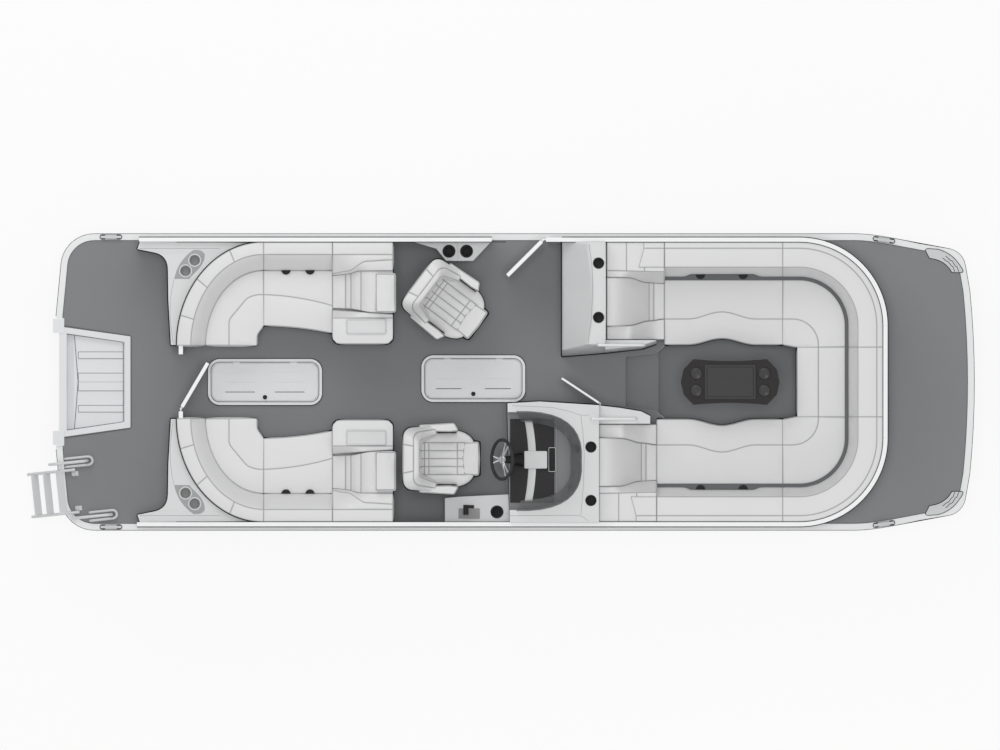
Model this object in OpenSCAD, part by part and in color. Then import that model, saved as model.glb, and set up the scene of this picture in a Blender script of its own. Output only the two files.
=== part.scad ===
// Pontoon boat, millimetres. +X is the bow, +Y is port, +Z is up.
// The origin is the centre of the boat's plan box, on the ground under the keels.

/* [Deck] */
// Overall width across the rub rails
beam = 2590; // [2550:10:3200]
// Deck length, stern edge to bow tip
deck_length = 8033; // [8000:10:10000]
// Deck panel thickness
deck_t = 20; // [16:1:30]
// Width of the rub rail's top flange
rail_w = 55; // [40:1:70]
// Height of the rub rail
rail_h = 105; // [90:1:130]

/* [Tubes and frame] */
// Diameter of the two outer tubes
tube_d = 635; // [600:5:800]
// Diameter of the centre tube
centre_tube_d = 584; // [540:2:600]
// Distance of each outer tube from the centreline
tube_y = 900; // [860:5:960]
// Length of the rising nose of each tube
nose_l = 820; // [500:10:1000]
// Keel strip thickness
keel_t = 10; // [6:1:20]
// Height of the risers that carry the frame
riser_h = 45; // [30:1:80]
// Height of the cross-members
cross_h = 90; // [75:1:120]
// Spacing of the cross-members
cross_pitch = 406; // [300:1:500]

/* [Fence] */
// Height of the fence's top above the deck
fence_h = 690; // [600:5:800]
// Thickness of the fence frame
fence_t = 37; // [30:1:45]
// Distance of the fence from the edge of the boat
fence_inset = 31; // [28:1:34]
// Radius of the fence at the bow corners, inside
fence_r = 737; // [650:1:760]
// Fence panel thickness
panel_t = 6; // [3:1:10]
// Gap between the deck and the fence's bottom rail
fence_gap = 25; // [15:1:40]
// Width of the side gate's opening
side_gate_w = 474; // [420:1:500]
// Width of the stern gate's opening
stern_gate_w = 472; // [420:1:500]

/* [Furniture] */
// Height of the rear seats above the deck
rear_seat_h = 440; // [400:5:480]
// Height of the rear backrests above the deck
rear_back_h = 700; // [660:5:720]
// Thickness of the seat cushions
cushion_t = 110; // [80:5:130]
// Length of a rear lounge
lounge_l = 1895; // [1850:5:1895]
// Distance from the fence to the inboard end of a rear lounge
lounge_w = 907; // [860:1:920]
// Height of the bow seats above the deck
bow_seat_h = 250; // [220:5:300]
// Height of the bow backrests above the deck
bow_back_h = 700; // [620:5:720]
// Depth of the sunken bow floor below the deck
well_depth = 180; // [150:5:185]
// Height of the chair seats above the deck
chair_seat_h = 520; // [510:5:560]
// Height of the chair backs above the deck
chair_back_h = 1060; // [980:10:1150]
// Height of the consoles above the deck
console_h = 850; // [800:10:950]
// Radius of a cup holder
cup_r = 46; // [40:1:48]
// Depth of a cup holder
cup_depth = 75; // [60:1:90]
// Steering wheel diameter
wheel_d = 375; // [340:5:380]
// Length of the bow table
table_l = 865; // [800:5:900]
// Height of the table above the sunken floor
table_h = 700; // [650:5:740]

/* [Boarding ladder] */
// Distance between the ladder's rails
ladder_w = 372; // [340:1:380]
// Length of the ladder below its bend
ladder_l = 760; // [700:5:790]
// Slope of the lowered ladder below level
ladder_slope = 72; // [68:1:80]

/* [Hidden] */

$fn = 48;
gap = 0.5;            // clearance between fixed pieces
seam = 0.8;           // gap between two cushions of one seat
run = 6;              // clearance round a moving piece
ladder_r = 13;        // radius of the ladder's rails
ladder_turn = 6;      // the stern's edge slants by this much at the ladder
ladder_level = 162;   // level stretch of the ladder's rails behind the hinge
ladder_in = 171;      // hinge's distance from the stern edge
// How far the lowered ladder stands out behind the deck
ladder_reach = (ladder_level + ladder_l * cos(ladder_slope)) * cos(ladder_turn)
    + ladder_w / 2 * sin(ladder_turn)
    + ladder_r * norm([sin(ladder_slope) * cos(ladder_turn), sin(ladder_turn)]) - ladder_in;

// Stations along the boat
stern = -(deck_length + ladder_reach) / 2 + ladder_reach;
bow = stern + deck_length;
half = beam / 2;
cabin = half - fence_inset - fence_t;   // inner face of the side fence

// Levels
tube_top = keel_t + tube_d;
frame_z = tube_top + riser_h;
deck_z = frame_z + cross_h;
deck_top = deck_z + deck_t;
fence_top = deck_top + fence_h;
pan_t = 12;
well_z = deck_top - well_depth;
centre_top = keel_t + centre_tube_d;

// --- Shapes ---------------------------------------------------------------

// Points of an arc of an ellipse, from angle a to angle b
function arc(c, rx, ry, a, b, n = 12) =
    [for (i = [0:n]) let (t = a + (b - a) * i / n) [c.x + rx * cos(t), c.y + ry * sin(t)]];

// Points of a curve from a to c that is drawn towards b
function bend(a, b, c, n = 8) =
    [for (i = [0:n]) let (t = i / n) (1 - t) * (1 - t) * a + 2 * t * (1 - t) * b + t * t * c];

function rev(p) = [for (i = [len(p) - 1:-1:0]) p[i]];

// The mirror image of a line of points, in the opposite order
function flip(points) = [for (i = [len(points) - 1:-1:0]) [points[i].x, -points[i].y]];

module block(low, high) translate(low) cube(high - low);

module slab(points, z0, z1) translate([0, 0, z0]) linear_extrude(z1 - z0) polygon(points);

// A profile in X and Z, carried along Y
module section_y(points, y0, y1)
    translate([0, y1, 0]) rotate([90, 0, 0]) linear_extrude(y1 - y0) polygon(points);

module starboard() mirror([0, 1, 0]) children();

// A closed skin over rings of points that all have as many points
module skin(rings) {
    n = len(rings[0]);
    m = len(rings);
    polyhedron(
        points = [for (r = rings) each r],
        faces = concat(
            [[for (i = [0:n - 1]) i]],
            [for (k = [0:m - 2], i = [0:n - 1]) let (j = (i + 1) % n)
                each [[k * n + i, (k + 1) * n + i, (k + 1) * n + j],
                      [k * n + i, (k + 1) * n + j, k * n + j]]],
            [[for (i = [n - 1:-1:0]) (m - 1) * n + i]]),
        convexity = 6);
}

function unit(v) = v / norm(v);

// Points of a route whose corners are rounded to radius r
function rounded(p, r, n = 4) =
    [p[0],
     for (i = [1:len(p) - 2])
        let (a = unit(p[i - 1] - p[i]), b = unit(p[i + 1] - p[i]))
        for (k = [0:n]) let (t = k / n)
            (1 - t) * (1 - t) * (p[i] + r * a) + 2 * t * (1 - t) * p[i] + t * t * (p[i] + r * b),
     p[len(p) - 1]];

// Direction of a route at its point i
function heading(p, i) = unit(p[min(i + 1, len(p) - 1)] - p[max(i - 1, 0)]);

// Side vectors carried along a route without twist
function carried(p, i, u) =
    let (t = heading(p, i), w = unit(u - (u * t) * t))
    i == len(p) - 1 ? [w] : concat([w], carried(p, i + 1, w));

// A bent round tube along a route of points
module bent_tube(p, r, n = 10) {
    sides = carried(p, 0, unit(cross(heading(p, 0), [0.3, 0.5, 0.8])));
    skin([for (i = [0:len(p) - 1])
        let (u = sides[i], v = cross(heading(p, i), u))
        [for (k = [0:n - 1]) let (a = -360 * k / n) p[i] + r * (cos(a) * u + sin(a) * v)]]);
}

// Hinge pin with its two arms, which reach towards +X to what carries them
pin_r = 5;
eye_r = 9;
eye_h = 40;
module hinge_pin(z, reach) translate([0, 0, z]) union() {
    translate([0, 0, -eye_h / 2 - 9]) cylinder(r = pin_r, h = eye_h + 18);
    for (s = [-1, 1]) translate([0, 0, s * (eye_h / 2 + 5)]) {
        block([0, -pin_r, -4], [reach, pin_r, 4]);
        translate([0, 0, -4]) cylinder(r = eye_r - 1, h = 8);
    }
}

// --- Hull -----------------------------------------------------------------

tube_stern = stern + 143;
tube_bow = bow - 120;
keel_w = 70;
tube_sides = 60;

// A tube whose nose narrows along an ogive and rises at the bottom
module tube_shell(d, y, x0, x1) {
    r = d / 2;
    z = keel_t + r;
    steps = 9;
    rings = concat([[x0, r]], [for (i = [0:steps]) let (t = i / steps)
        [x1 - nose_l + nose_l * sin(90 * t), r * (0.10 + 0.90 * cos(90 * t))]]);
    skin([for (q = rings) [for (k = [0:tube_sides - 1]) let (a = 360 * k / tube_sides)
        [q.x, y + q.y * cos(a), z + (r - q.y) * 0.75 + q.y * sin(a)]]]);
}

module keel(y, x0, x1)
    block([x0, y - keel_w / 2, 0], [x1, y + keel_w / 2, keel_t + 6]);

module side_tube(y) {
    color("lightgray") union() {
        tube_shell(tube_d, y, tube_stern, tube_bow);
        keel(y, tube_stern + 10, tube_bow - nose_l);
    }
}

module port_tube() side_tube(tube_y);
module starboard_tube() side_tube(-tube_y);

// Floor lockers: middle and size of each rim in plan
hatch_l = 998;
aft_hatch_w = 402;
fwd_hatch_l = 908;
fwd_hatch_w = 408;
aft_hatch_c = [stern + 1828, 0];
fwd_hatch_c = [bow - 4382, 29];
rim_w = 35;
rim_t = 25;
tub_t = 4;
tub_depth = 470;
tub_inset = 48;   // tub's outer wall inside the rim's outer edge
hatch_r = 105;

pod_bow = stern + 890;

module centre_tube() color("lightgray") difference() {
    union() {
        tube_shell(centre_tube_d, 0, pod_bow + gap, tube_bow - 60);
        keel(0, pod_bow + gap, tube_bow - 60 - nose_l);
    }
    tub_space(aft_hatch_c, hatch_l, aft_hatch_w);
    tub_space(fwd_hatch_c, fwd_hatch_l, fwd_hatch_w);
}

module tub_space(c, l, w) {
    x = l / 2 - tub_inset + gap;
    y = w / 2 - tub_inset + gap;
    block([c.x - x, c.y - y, deck_top - tub_depth - gap], [c.x + x, c.y + y, deck_top]);
}

transom_x = stern + 27;
transom_t = 66;
pod_w = 200;
pod_top = keel_t + 490;

module motor_pod() color("lightgray")
    section_y([[transom_x + transom_t, keel_t + 190], [pod_bow, keel_t + 110],
               [pod_bow, pod_top], [transom_x + transom_t, pod_top]], -pod_w / 2, pod_w / 2);

transom_w = 428;          // half its width, between the posts
bolt_r = 6.75;
upper_bolts = 327;
lower_bolts = 251;
bolt_drop = 203;
bolt_z = deck_top - 50;

module transom() color("gainsboro") difference() {
    block([transom_x, -transom_w, pod_top - 200], [transom_x + transom_t, transom_w, deck_top + 15]);
    for (s = [-1, 1]) {
        bolt_hole(s * upper_bolts / 2, bolt_z);
        bolt_hole(s * lower_bolts / 2, bolt_z - bolt_drop);
    }
}

module bolt_hole(y, z)
    translate([transom_x - 1, y, z]) rotate([0, 90, 0]) cylinder(r = bolt_r, h = transom_t + 2);

// Cut-out in the deck for the outboard
well_stern_y = 479;
well_bow_y = 398;
well_x0 = stern + 69;
well_x1 = stern + 651;
well_frame_w = 49;
plate_z = deck_top - 35;

function well_side(x) = well_stern_y + (well_bow_y - well_stern_y) * (x - well_x0) / (well_x1 - well_x0);
function well_outline(grow) =
    [[stern - 60, -well_side(stern - 60) - grow], [well_x1 + grow, -well_side(well_x1) - grow],
     [well_x1 + grow, well_side(well_x1) + grow], [stern - 60, well_side(stern - 60) + grow]];

module motor_well() color("gainsboro") union() {
    // frame round the cut-out
    difference() {
        slab(well_outline(0), deck_z - 60, deck_top + 12);
        slab(well_outline(-well_frame_w), deck_z - 61, deck_top + 13);
        block([stern - 80, -half, 0], [well_x0 - 45, half, deck_top + 20]);
        block([transom_x - 1, -transom_w - gap, 0],
              [transom_x + transom_t + gap, transom_w + gap, deck_top + 20]);
    }
    // sunken floor plate with raised ribs
    slab([[stern + 157, -well_side(stern + 157) + 30], [well_x1 - 20, -well_side(well_x1) + 30],
          [well_x1 - 20, well_side(well_x1) - 30], [stern + 157, well_side(stern + 157) - 30]],
         plate_z - 8, plate_z);
    for (y = [-234, -38, 38, 234])
        block([stern + 197, y - (abs(y) > 100 ? 27 : 37), plate_z - 1],
              [well_x1 - well_frame_w + 5, y + (abs(y) > 100 ? 27 : 37), plate_z + 12]);
    // lip that runs down from the plate to the transom
    section_y([[transom_x + transom_t + gap, plate_z - 40], [transom_x + transom_t + gap, plate_z - 32],
               [stern + 160, plate_z], [stern + 160, plate_z - 8]], -well_side(stern + 120) + 40,
              well_side(stern + 120) - 40);
    // posts at the ends of the transom
    for (s = [-1, 1])
        block([stern - 27, s * 490 - 61, deck_z - 60], [well_x0 + 1, s * 490 + 61, deck_top + 30]);
}

// --- Frame and deck -------------------------------------------------------

cross_w = 40;
cross_first = stern + 760;
cross_count = floor((bow - 220 - cross_first) / cross_pitch);
well_clear = 445;   // half width left free for the sunken bow floor

// The frame is left out where x falls in a locker or in the sunken floor
function in_locker(x) =
    abs(x - aft_hatch_c.x) < hatch_l / 2 || abs(x - fwd_hatch_c.x) < fwd_hatch_l / 2;
function in_bow_well(x) = x > step1_x - 60 && x < bow - 1490;
function cross_free(x) = in_bow_well(x) ? well_clear : in_locker(x) ? 240 : 0;

module cross_member(x) {
    free = cross_free(x);
    if (free > 0)
        for (s = [-1, 1])
            block([x - cross_w / 2, s > 0 ? free : -half, frame_z],
                  [x + cross_w / 2, s > 0 ? half : -free, deck_z]);
    else
        block([x - cross_w / 2, -half, frame_z], [x + cross_w / 2, half, deck_z]);
}

module cross_members() color("silver") intersection() {
    union() {
        for (i = [0:cross_count]) cross_member(cross_first + i * cross_pitch);
        // outriggers beside the motor well
        for (s = [-1, 1], x = [stern + 120, stern + 440])
            block([x - cross_w / 2, s > 0 ? 550 : -half, frame_z], [x + cross_w / 2, s > 0 ? half : -550, deck_z]);
    }
    translate([0, 0, frame_z - 1]) linear_extrude(cross_h + 2) deck_plan(rail_w + gap);
}

riser_y = 110;   // distance of the riser plates from the middle of a tube
module risers() color("silver") {
    for (s = [-1, 1]) difference() {
        union() for (side = [-1, 1])
            block([tube_stern + 60, s * tube_y + side * riser_y - 4, tube_top - 60],
                  [tube_bow - nose_l, s * tube_y + side * riser_y + 4, frame_z]);
        translate([tube_stern, s * tube_y, keel_t + tube_d / 2]) rotate([0, 90, 0])
            cylinder(r = tube_d / 2 + 0.3, h = deck_length, $fn = 96);
    }
    // pads between the centre tube and the sunken floor
    for (x = [step2_x + 60, (step2_x + pit_x1) / 2, pit_x1 - 120])
        block([x - 60, -80, centre_top], [x + 60, 80, well_z - pan_t]);
    // posts from the centre tube to the frame
    for (i = [0:cross_count]) let (x = cross_first + i * cross_pitch)
        if (cross_free(x) == 0 && x > pod_bow + 40 && x < tube_bow - nose_l - 60)
            block([x - 15, -40, centre_top], [x + 15, 40, frame_z]);
}

bow_r = 175;
stern_r = 290;

// Port half of the deck's outer edge, stern to bow
function port_edge() = concat(
    [[stern, 558]],
    arc([stern + 333, half - stern_r], stern_r, stern_r, 170, 90, 8),
    bend([bow - 1042, half], [bow - 860, half], [bow - 480, half - 86], 6),
    arc([bow - 251, half - 302], bow_r, bow_r, 80, 8, 7),
    [for (y = [800, 600, 400, 200]) [bow - 6.19e-5 * y * y, y]]);

module deck_plan(inset) offset(delta = -inset) polygon(concat(port_edge(), [[bow, 0]], flip(port_edge())));

module rub_rail() color("whitesmoke") difference() {
    translate([0, 0, deck_top - rail_h]) linear_extrude(rail_h) deck_plan(0);
    translate([0, 0, deck_top - rail_h - 1]) linear_extrude(rail_h + 2) deck_plan(rail_w);
    slab([[stern - 100, -555], [stern + 200, -555], [stern + 200, 555], [stern - 100, 555]],
         deck_z - 200, deck_top + 50);
}

// Rounded rectangle, centred
module pill(l, w, r) {
    square([l - 2 * r, w], center = true);
    square([l, w - 2 * r], center = true);
    for (sx = [-1, 1], sy = [-1, 1]) translate([sx * (l / 2 - r), sy * (w / 2 - r)]) circle(r);
}

module hatch_hole(c, l, w)
    translate([c.x, c.y, deck_z - 1]) linear_extrude(deck_t + 2) pill(l - 40, w - 40, hatch_r - 20);

module deck() color("dimgray") difference() {
    translate([0, 0, deck_z]) linear_extrude(deck_t) deck_plan(rail_w + gap);
    slab(well_outline(gap), deck_z - 1, deck_top + 1);
    block([stern - 100, -556, deck_z - 1], [well_x0 + 2, 556, deck_top + 1]);
    hatch_hole(aft_hatch_c, hatch_l, aft_hatch_w);
    hatch_hole(fwd_hatch_c, fwd_hatch_l, fwd_hatch_w);
    slab(pit_plan(1), deck_z - 1, deck_top + 1);
}

// --- Sunken bow floor -----------------------------------------------------

step1_x = bow - 3053;
step2_x = bow - 2760;
pit_x1 = bow - 1553 + 28;
step_drop = well_depth / 2;
seat_edge = 322;          // front edge of the side seats
wave_depth = 58;
wave_c = (bow - 2211);    // middle of the wave in the seats' front edges
wave_l = 720;
foot_in = 40;             // how far the bases stand back from the seats' edges

// Front edge of the bow side seats, and its wave
function wave(x) = abs(x - wave_c) < wave_l / 2 ? wave_depth * (0.5 + 0.5 * cos(360 * (x - wave_c) / wave_l)) : 0;
function seat_front(x) = seat_edge + wave(x);
function side_front(x0, x1, grow) =
    [for (i = [0:16]) let (x = x0 + (x1 - x0) * i / 16) [x, seat_front(x) + grow]];

function pit_plan(grow) = let (half_pit = concat(
    [[step1_x - grow, 225 + grow], [step2_x - 20, 255 + grow], [step2_x + 30, 300 + grow]],
    side_front(step2_x + 90, bow - 1690, foot_in + grow - 12),
    [[pit_x1 + grow, seat_edge + foot_in + grow - 12]]))
    concat(half_pit, flip(half_pit));

module bow_well() color("dimgray") difference() {
    slab(pit_plan(0), well_z - pan_t, deck_top - 0.5);
    slab(pit_plan(-8), well_z + step_drop, deck_top + 1);
    intersection() {
        slab(pit_plan(-8), well_z, deck_top + 1);
        block([step2_x, -half, 0], [bow, half, deck_top + 2]);
    }
    // the space under the first step is open below
    block([step1_x - 20, -half, well_z - pan_t - 1], [step2_x - 10, half, well_z + step_drop - pan_t]);
}

// --- Fence ----------------------------------------------------------------

rail = fence_t;
front_x = bow - 757 - fence_t;       // inner face of the front fence
corner = [front_x - fence_r, cabin - fence_r];
gate_aft = bow - 4220;               // ends of the side gate's opening
gate_fwd = gate_aft + side_gate_w;
port_fence_x = stern + 725;
starboard_fence_x = stern + 708;

// Straight fence along X on the port side
module fence_run(x0, x1) {
    y0 = cabin;
    y1 = cabin + fence_t;
    ym = cabin + fence_t / 2;
    for (z = [deck_top + fence_gap, fence_top - rail]) block([x0, y0, z], [x1, y1, z + rail]);
    block([x0 + 2, ym - panel_t / 2, deck_top + fence_gap + 5], [x1, ym + panel_t / 2, fence_top - 5]);
    posts = max(1, round((x1 - x0) / 900));
    for (i = [0:posts]) let (x = x0 + (x1 - x0 - rail) * i / posts)
        block([x, y0, deck_top], [x + rail, y1, fence_top - 1]);
}

// Fence panels from a point on the side round the bow corner to the centreline
module fence_bend(x0, y_end) {
    fence_run(x0, corner.x - gap);
    translate(corner) {
        for (z = [deck_top + fence_gap, fence_top - rail])
            translate([0, 0, z]) rotate_extrude(angle = 90, $fn = 96)
                translate([fence_r, 0]) square([fence_t, rail]);
        translate([0, 0, deck_top + fence_gap + 5]) rotate_extrude(angle = 90, $fn = 96)
            translate([fence_r + (fence_t - panel_t) / 2, 0]) square([panel_t, fence_h - fence_gap - 10]);
        for (a = [3, 30, 60, 87])
            rotate(a) block([fence_r, -rail / 2, deck_top], [fence_r + fence_t, rail / 2, fence_top - 1]);
    }
    y1 = corner.y - gap;
    for (z = [deck_top + fence_gap, fence_top - rail])
        block([front_x, y_end, z], [front_x + fence_t, y1, z + rail]);
    block([front_x + (fence_t - panel_t) / 2, y_end, deck_top + fence_gap + 5],
          [front_x + (fence_t + panel_t) / 2, y1, fence_top - 5]);
    for (y = [y_end, (y_end + y1) / 2, y1 - rail])
        block([front_x, y, deck_top], [front_x + fence_t, y + rail, fence_top - 1]);
}

module fence_port_stern() color("white") union() fence_run(port_fence_x, gate_aft);
pin_heights = [deck_top + 180, fence_top - 180];

module fence_port_bow() color("white") union() {
    fence_bend(gate_fwd, gap / 2);
    translate([side_hinge.x, side_hinge.y, 0]) for (z = pin_heights) hinge_pin(z, side_stand + 1);
}
split_x = bow - 3177;                // joint in the starboard fence
module fence_starboard() color("white") starboard() union() {
    fence_bend(split_x, gap / 2);
    fence_run(starboard_fence_x, split_x - gap);
}

lounge_x = stern + 1053;
post_w = 37;
stub_x = lounge_x + 20;

// Stubs beside the stern walkway; the starboard one carries the gate
stub_in = cabin - lounge_w - gap;
module gate_posts() color("white") {
    block([stub_x, stern_gate_w / 2 + run, deck_top], [stub_x + post_w, stub_in, fence_top - 40]);
    union() {
        block([stub_x, -stub_in, deck_top], [stub_x + post_w, stern_hinge.y - stern_stand, fence_top - 40]);
        translate([stern_hinge.x, stern_hinge.y, 0]) rotate(-90)
            for (z = pin_heights) hinge_pin(z, stern_stand + 1);
    }
}

module corner_castings() color("silver") for (s = [0, 1]) mirror([0, s, 0])
    slab(concat(arc([bow - 251, half - 302], bow_r - 14, bow_r - 14, 96, 6, 8),
                arc([bow - 251, half - 302], bow_r - 110, bow_r - 110, 6, 96, 8)),
         deck_top, deck_top + 14);

// One mooring cleat, its horn along X
module cleat() {
    for (x = [-28, 28]) translate([x, 0, 0]) cylinder(r = 9, h = 30);
    translate([0, 0, 30]) block([-91, -11, 0], [91, 11, 14]);
    block([-50, -20, 0], [50, 20, 6]);
}

cleat_y = half - 26;
module cleats() color("silver") for (s = [-1, 1]) {
    translate([stern + 480, s * cleat_y, deck_top]) cleat();
    translate([bow - 789, s * (cleat_y - 26), deck_top]) rotate(-s * 8) cleat();
}

// --- Rear lounges (port side; the starboard one is its mirror) --------------

// Points from the distance u forward of the lounge's end and v inboard of the fence
function cab(u, v) = [lounge_x + u, cabin - v];
seat_z0 = deck_top + rear_seat_h - cushion_t;
seat_z1 = deck_top + rear_seat_h;
back_z1 = deck_top + rear_back_h;
bend_u = 763;             // where the round corner begins
seam_u = 1366;            // where the straight seat meets the chaise

// The corner's outline drawn in by d
function lounge_arc(d, n = 14) =
    arc(cab(bend_u, lounge_w), bend_u - d, lounge_w - d, 180, 90, n);

function lounge_front(grow) = concat(
    bend(cab(seam_u, 798 + grow), cab(1100, 752 + grow), cab(bend_u, 733 + grow), 5),
    [cab(705 + grow, 816 + grow * 0.5), cab(679 + grow, lounge_w)]);

module lounge_base() color("gainsboro") union() {
    slab(concat(lounge_arc(gap), [cab(seam_u, gap)], lounge_front(-60)), deck_top, seat_z0 - gap);
    slab([cab(seam_u - 1, gap), cab(lounge_l - 20, gap), cab(lounge_l - 20, 840), cab(seam_u - 1, 800)],
         deck_top, seat_z0 - gap);
}

module lounge_seat() color("whitesmoke") {
    slab(concat(lounge_arc(258), [cab(bend_u, 733), cab(705, 816), cab(679, lounge_w)]), seat_z0, seat_z1);
    slab(concat([cab(bend_u + seam, 258), cab(seam_u - gap, 258)],
                bend(cab(seam_u - gap, 798), cab(1100, 752), cab(bend_u + seam, 733), 5)), seat_z0, seat_z1);
}

module lounge_back() color("whitesmoke") {
    slab(concat(lounge_arc(gap), rev(lounge_arc(255))), seat_z0, back_z1);
    slab([cab(bend_u + seam, gap), cab(seam_u - gap, gap), cab(seam_u - gap, 255), cab(bend_u + seam, 255)],
         seat_z0, back_z1);
}

arm_z = deck_top + rear_seat_h + 190;

module chaise() color("whitesmoke") union() {
    // inboard arm with its round corners
    translate([0, 0, seat_z0]) linear_extrude(arm_z - seat_z0) {
        polygon([cab(seam_u, 640), cab(lounge_l, 640), cab(lounge_l, 833), cab(lounge_l - 60, 893),
                 cab(seam_u + 60, 893), cab(seam_u, 833)]);
        translate(cab(lounge_l - 60, 833)) circle(60);
        translate(cab(seam_u + 60, 833)) circle(60);
    }
    // outer bolster
    slab([cab(seam_u, gap), cab(lounge_l, gap), cab(lounge_l, 262), cab(seam_u, 290)], seat_z0, back_z1);
    // the back, which rises towards the bow
    section_y([[lounge_x + seam_u, seat_z0], [lounge_x + lounge_l, seat_z0],
               [lounge_x + lounge_l, back_z1 - 60], [lounge_x + lounge_l - 160, back_z1 - 40],
               [lounge_x + seam_u + 110, seat_z1 + 40], [lounge_x + seam_u, seat_z1]],
              cabin - 641, cabin - 261);
}

module pillow() color("whitesmoke")
    section_y([[lounge_x + lounge_l - 158, back_z1 - 39.8], [lounge_x + lounge_l + 8, back_z1 - 60.5],
               [lounge_x + lounge_l + 24, back_z1 + 20], [lounge_x + lounge_l - 20, back_z1 + 60],
               [lounge_x + lounge_l - 158, back_z1 + 60]], cabin - 623, cabin - 272);

shell_z = fence_top - 60;

// Corner shell behind the lounge: a plinth, and on it two wings with a cup-holder insert between them
insert_v = [96, 322];      // the insert lies between these distances from the fence
insert_h = cup_depth + 12;

module shell_plan() polygon(concat(
    [cab(-319, gap), cab(-341, 64), cab(-188, 95)],
    bend(cab(-188, 95), cab(-74, 120), cab(-74, 250), 6),
    [cab(-70, 510), cab(-48, lounge_w - 4), cab(-4, lounge_w - 4)],
    [for (q = lounge_arc(-3, 20)) if (q.y < cabin - gap && q.y > cabin - lounge_w + 8) q]));

// Band of the shell's plan between two distances from the fence
module shell_band(v0, v1, z0, z1) translate([0, 0, z0]) linear_extrude(z1 - z0) intersection() {
    shell_plan();
    translate([lounge_x - 400, cabin - v1]) square([1400, v1 - v0]);
}

module corner_shell() color("lightgray") {
    shell_band(0, lounge_w, deck_top, shell_z - insert_h - gap);
    shell_band(0, insert_v[0] - gap, shell_z - insert_h, shell_z);
    shell_band(insert_v[1] + gap, lounge_w, shell_z - insert_h, shell_z);
    difference() {
        shell_band(insert_v[0], insert_v[1], shell_z - insert_h, shell_z);
        for (q = [cab(160, 162), cab(80, 255)])
            translate([q.x, q.y, shell_z - cup_depth]) cylinder(r = cup_r, h = cup_depth + 1);
    }
}

module port_lounge_base() lounge_base();
module port_lounge_seat() lounge_seat();
module port_lounge_back() lounge_back();
module port_chaise() chaise();
module port_pillow() pillow();
module port_corner_shell() corner_shell();
module starboard_lounge_base() starboard() lounge_base();
module starboard_lounge_seat() starboard() lounge_seat();
module starboard_lounge_back() starboard() lounge_back();
module starboard_chaise() starboard() chaise();
module starboard_pillow() starboard() pillow();
module starboard_corner_shell() starboard() corner_shell();

// --- Bow lounge -----------------------------------------------------------

bow_z0 = deck_top + bow_seat_h - cushion_t;
bow_z1 = deck_top + bow_seat_h;
bow_back_z = deck_top + bow_back_h;
port_seat_x = bow - 2710;
starboard_seat_x = bow - 2778;
bow_seam = bow - 1675;
crease = 325;                   // depth of the backrests from the fence
front_edge = bow - 1553;        // front of the seat across the bow
nose_y = 305;

function bow_arc(r, n = 12) = arc(corner, r, r, 90, 0, n);
module bow_half_base(x0) {
    slab(concat([[x0, cabin - gap]], bow_arc(fence_r - gap), [[front_x - gap, 0], [front_edge + foot_in, 0]],
                [[front_edge + foot_in, seat_edge + foot_in]],
                rev(side_front(x0, bow - 1690, foot_in))), deck_top, bow_z0 - gap);
}

module bow_seat_base() color("gainsboro") union() {
    bow_half_base(port_seat_x);
    starboard() bow_half_base(starboard_seat_x);
}

module bow_half_seats(x0) {
    slab(concat([[x0, cabin - crease], [bow_seam, cabin - crease]],
                rev(side_front(x0, bow_seam, 0))), bow_z0, bow_z1);
    slab(concat([[bow_seam + seam, cabin - crease]], bow_arc(fence_r - crease),
                [[front_x - crease, nose_y + seam], [front_edge, nose_y + seam], [bow_seam + seam, seat_edge]]),
         bow_z0, bow_z1);
}

module bow_seats() color("whitesmoke") {
    bow_half_seats(port_seat_x);
    starboard() bow_half_seats(starboard_seat_x);
    block([front_edge, -nose_y, bow_z0], [front_x - crease, nose_y, bow_z1]);
}

back_d = crease - 3;
module bow_half_backs(x0) {
    block([x0, cabin - back_d, bow_z0], [bow_seam, cabin - gap, bow_back_z]);
    slab(concat([[bow_seam + seam, cabin - gap]], bow_arc(fence_r - gap),
                [[front_x - gap, nose_y + seam], [front_x - back_d, nose_y + seam]],
                rev(bow_arc(fence_r - back_d)), [[bow_seam + seam, cabin - back_d]]), bow_z0, bow_back_z);
}

module bow_backs() color("whitesmoke") {
    bow_half_backs(port_seat_x);
    starboard() bow_half_backs(starboard_seat_x);
    block([front_x - back_d, -nose_y, bow_z0], [front_x - gap, nose_y, bow_back_z]);
}

chaise_l = 370;     // sloping back of a bow chaise
chaise_y0 = 345;    // inboard face of the chaise block

// Sloping back at the aft end of a bow lounge, which starts at x
module bow_chaise(x, x_end) color("whitesmoke") union() {
    section_y([[x, deck_top], [x_end - gap, deck_top], [x_end - gap, bow_z1],
               [x + chaise_l, bow_z1 + 40], [x + 90, bow_back_z + 40], [x, bow_back_z + 40]],
              494, 870);
    block([x, 869, deck_top], [x_end - gap, cabin - gap, bow_back_z]);
    block([x, chaise_y0 + 25, deck_top], [x_end - gap, 495, bow_back_z - 120]);
}

module port_bow_chaise() bow_chaise(bow - 3214, port_seat_x);
module starboard_bow_chaise() starboard() bow_chaise(bow - 3282, starboard_seat_x);

// --- Consoles -------------------------------------------------------------

port_con_x = bow - 3606;
con_band = bow - 3221;
con_top = deck_top + console_h;
coaming_z = bow_back_z - 80;   // top of the walls that run forward from the consoles

module cup(x, y, z) translate([x, y, z - cup_depth]) cylinder(r = cup_r, h = cup_depth + 1);

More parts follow.
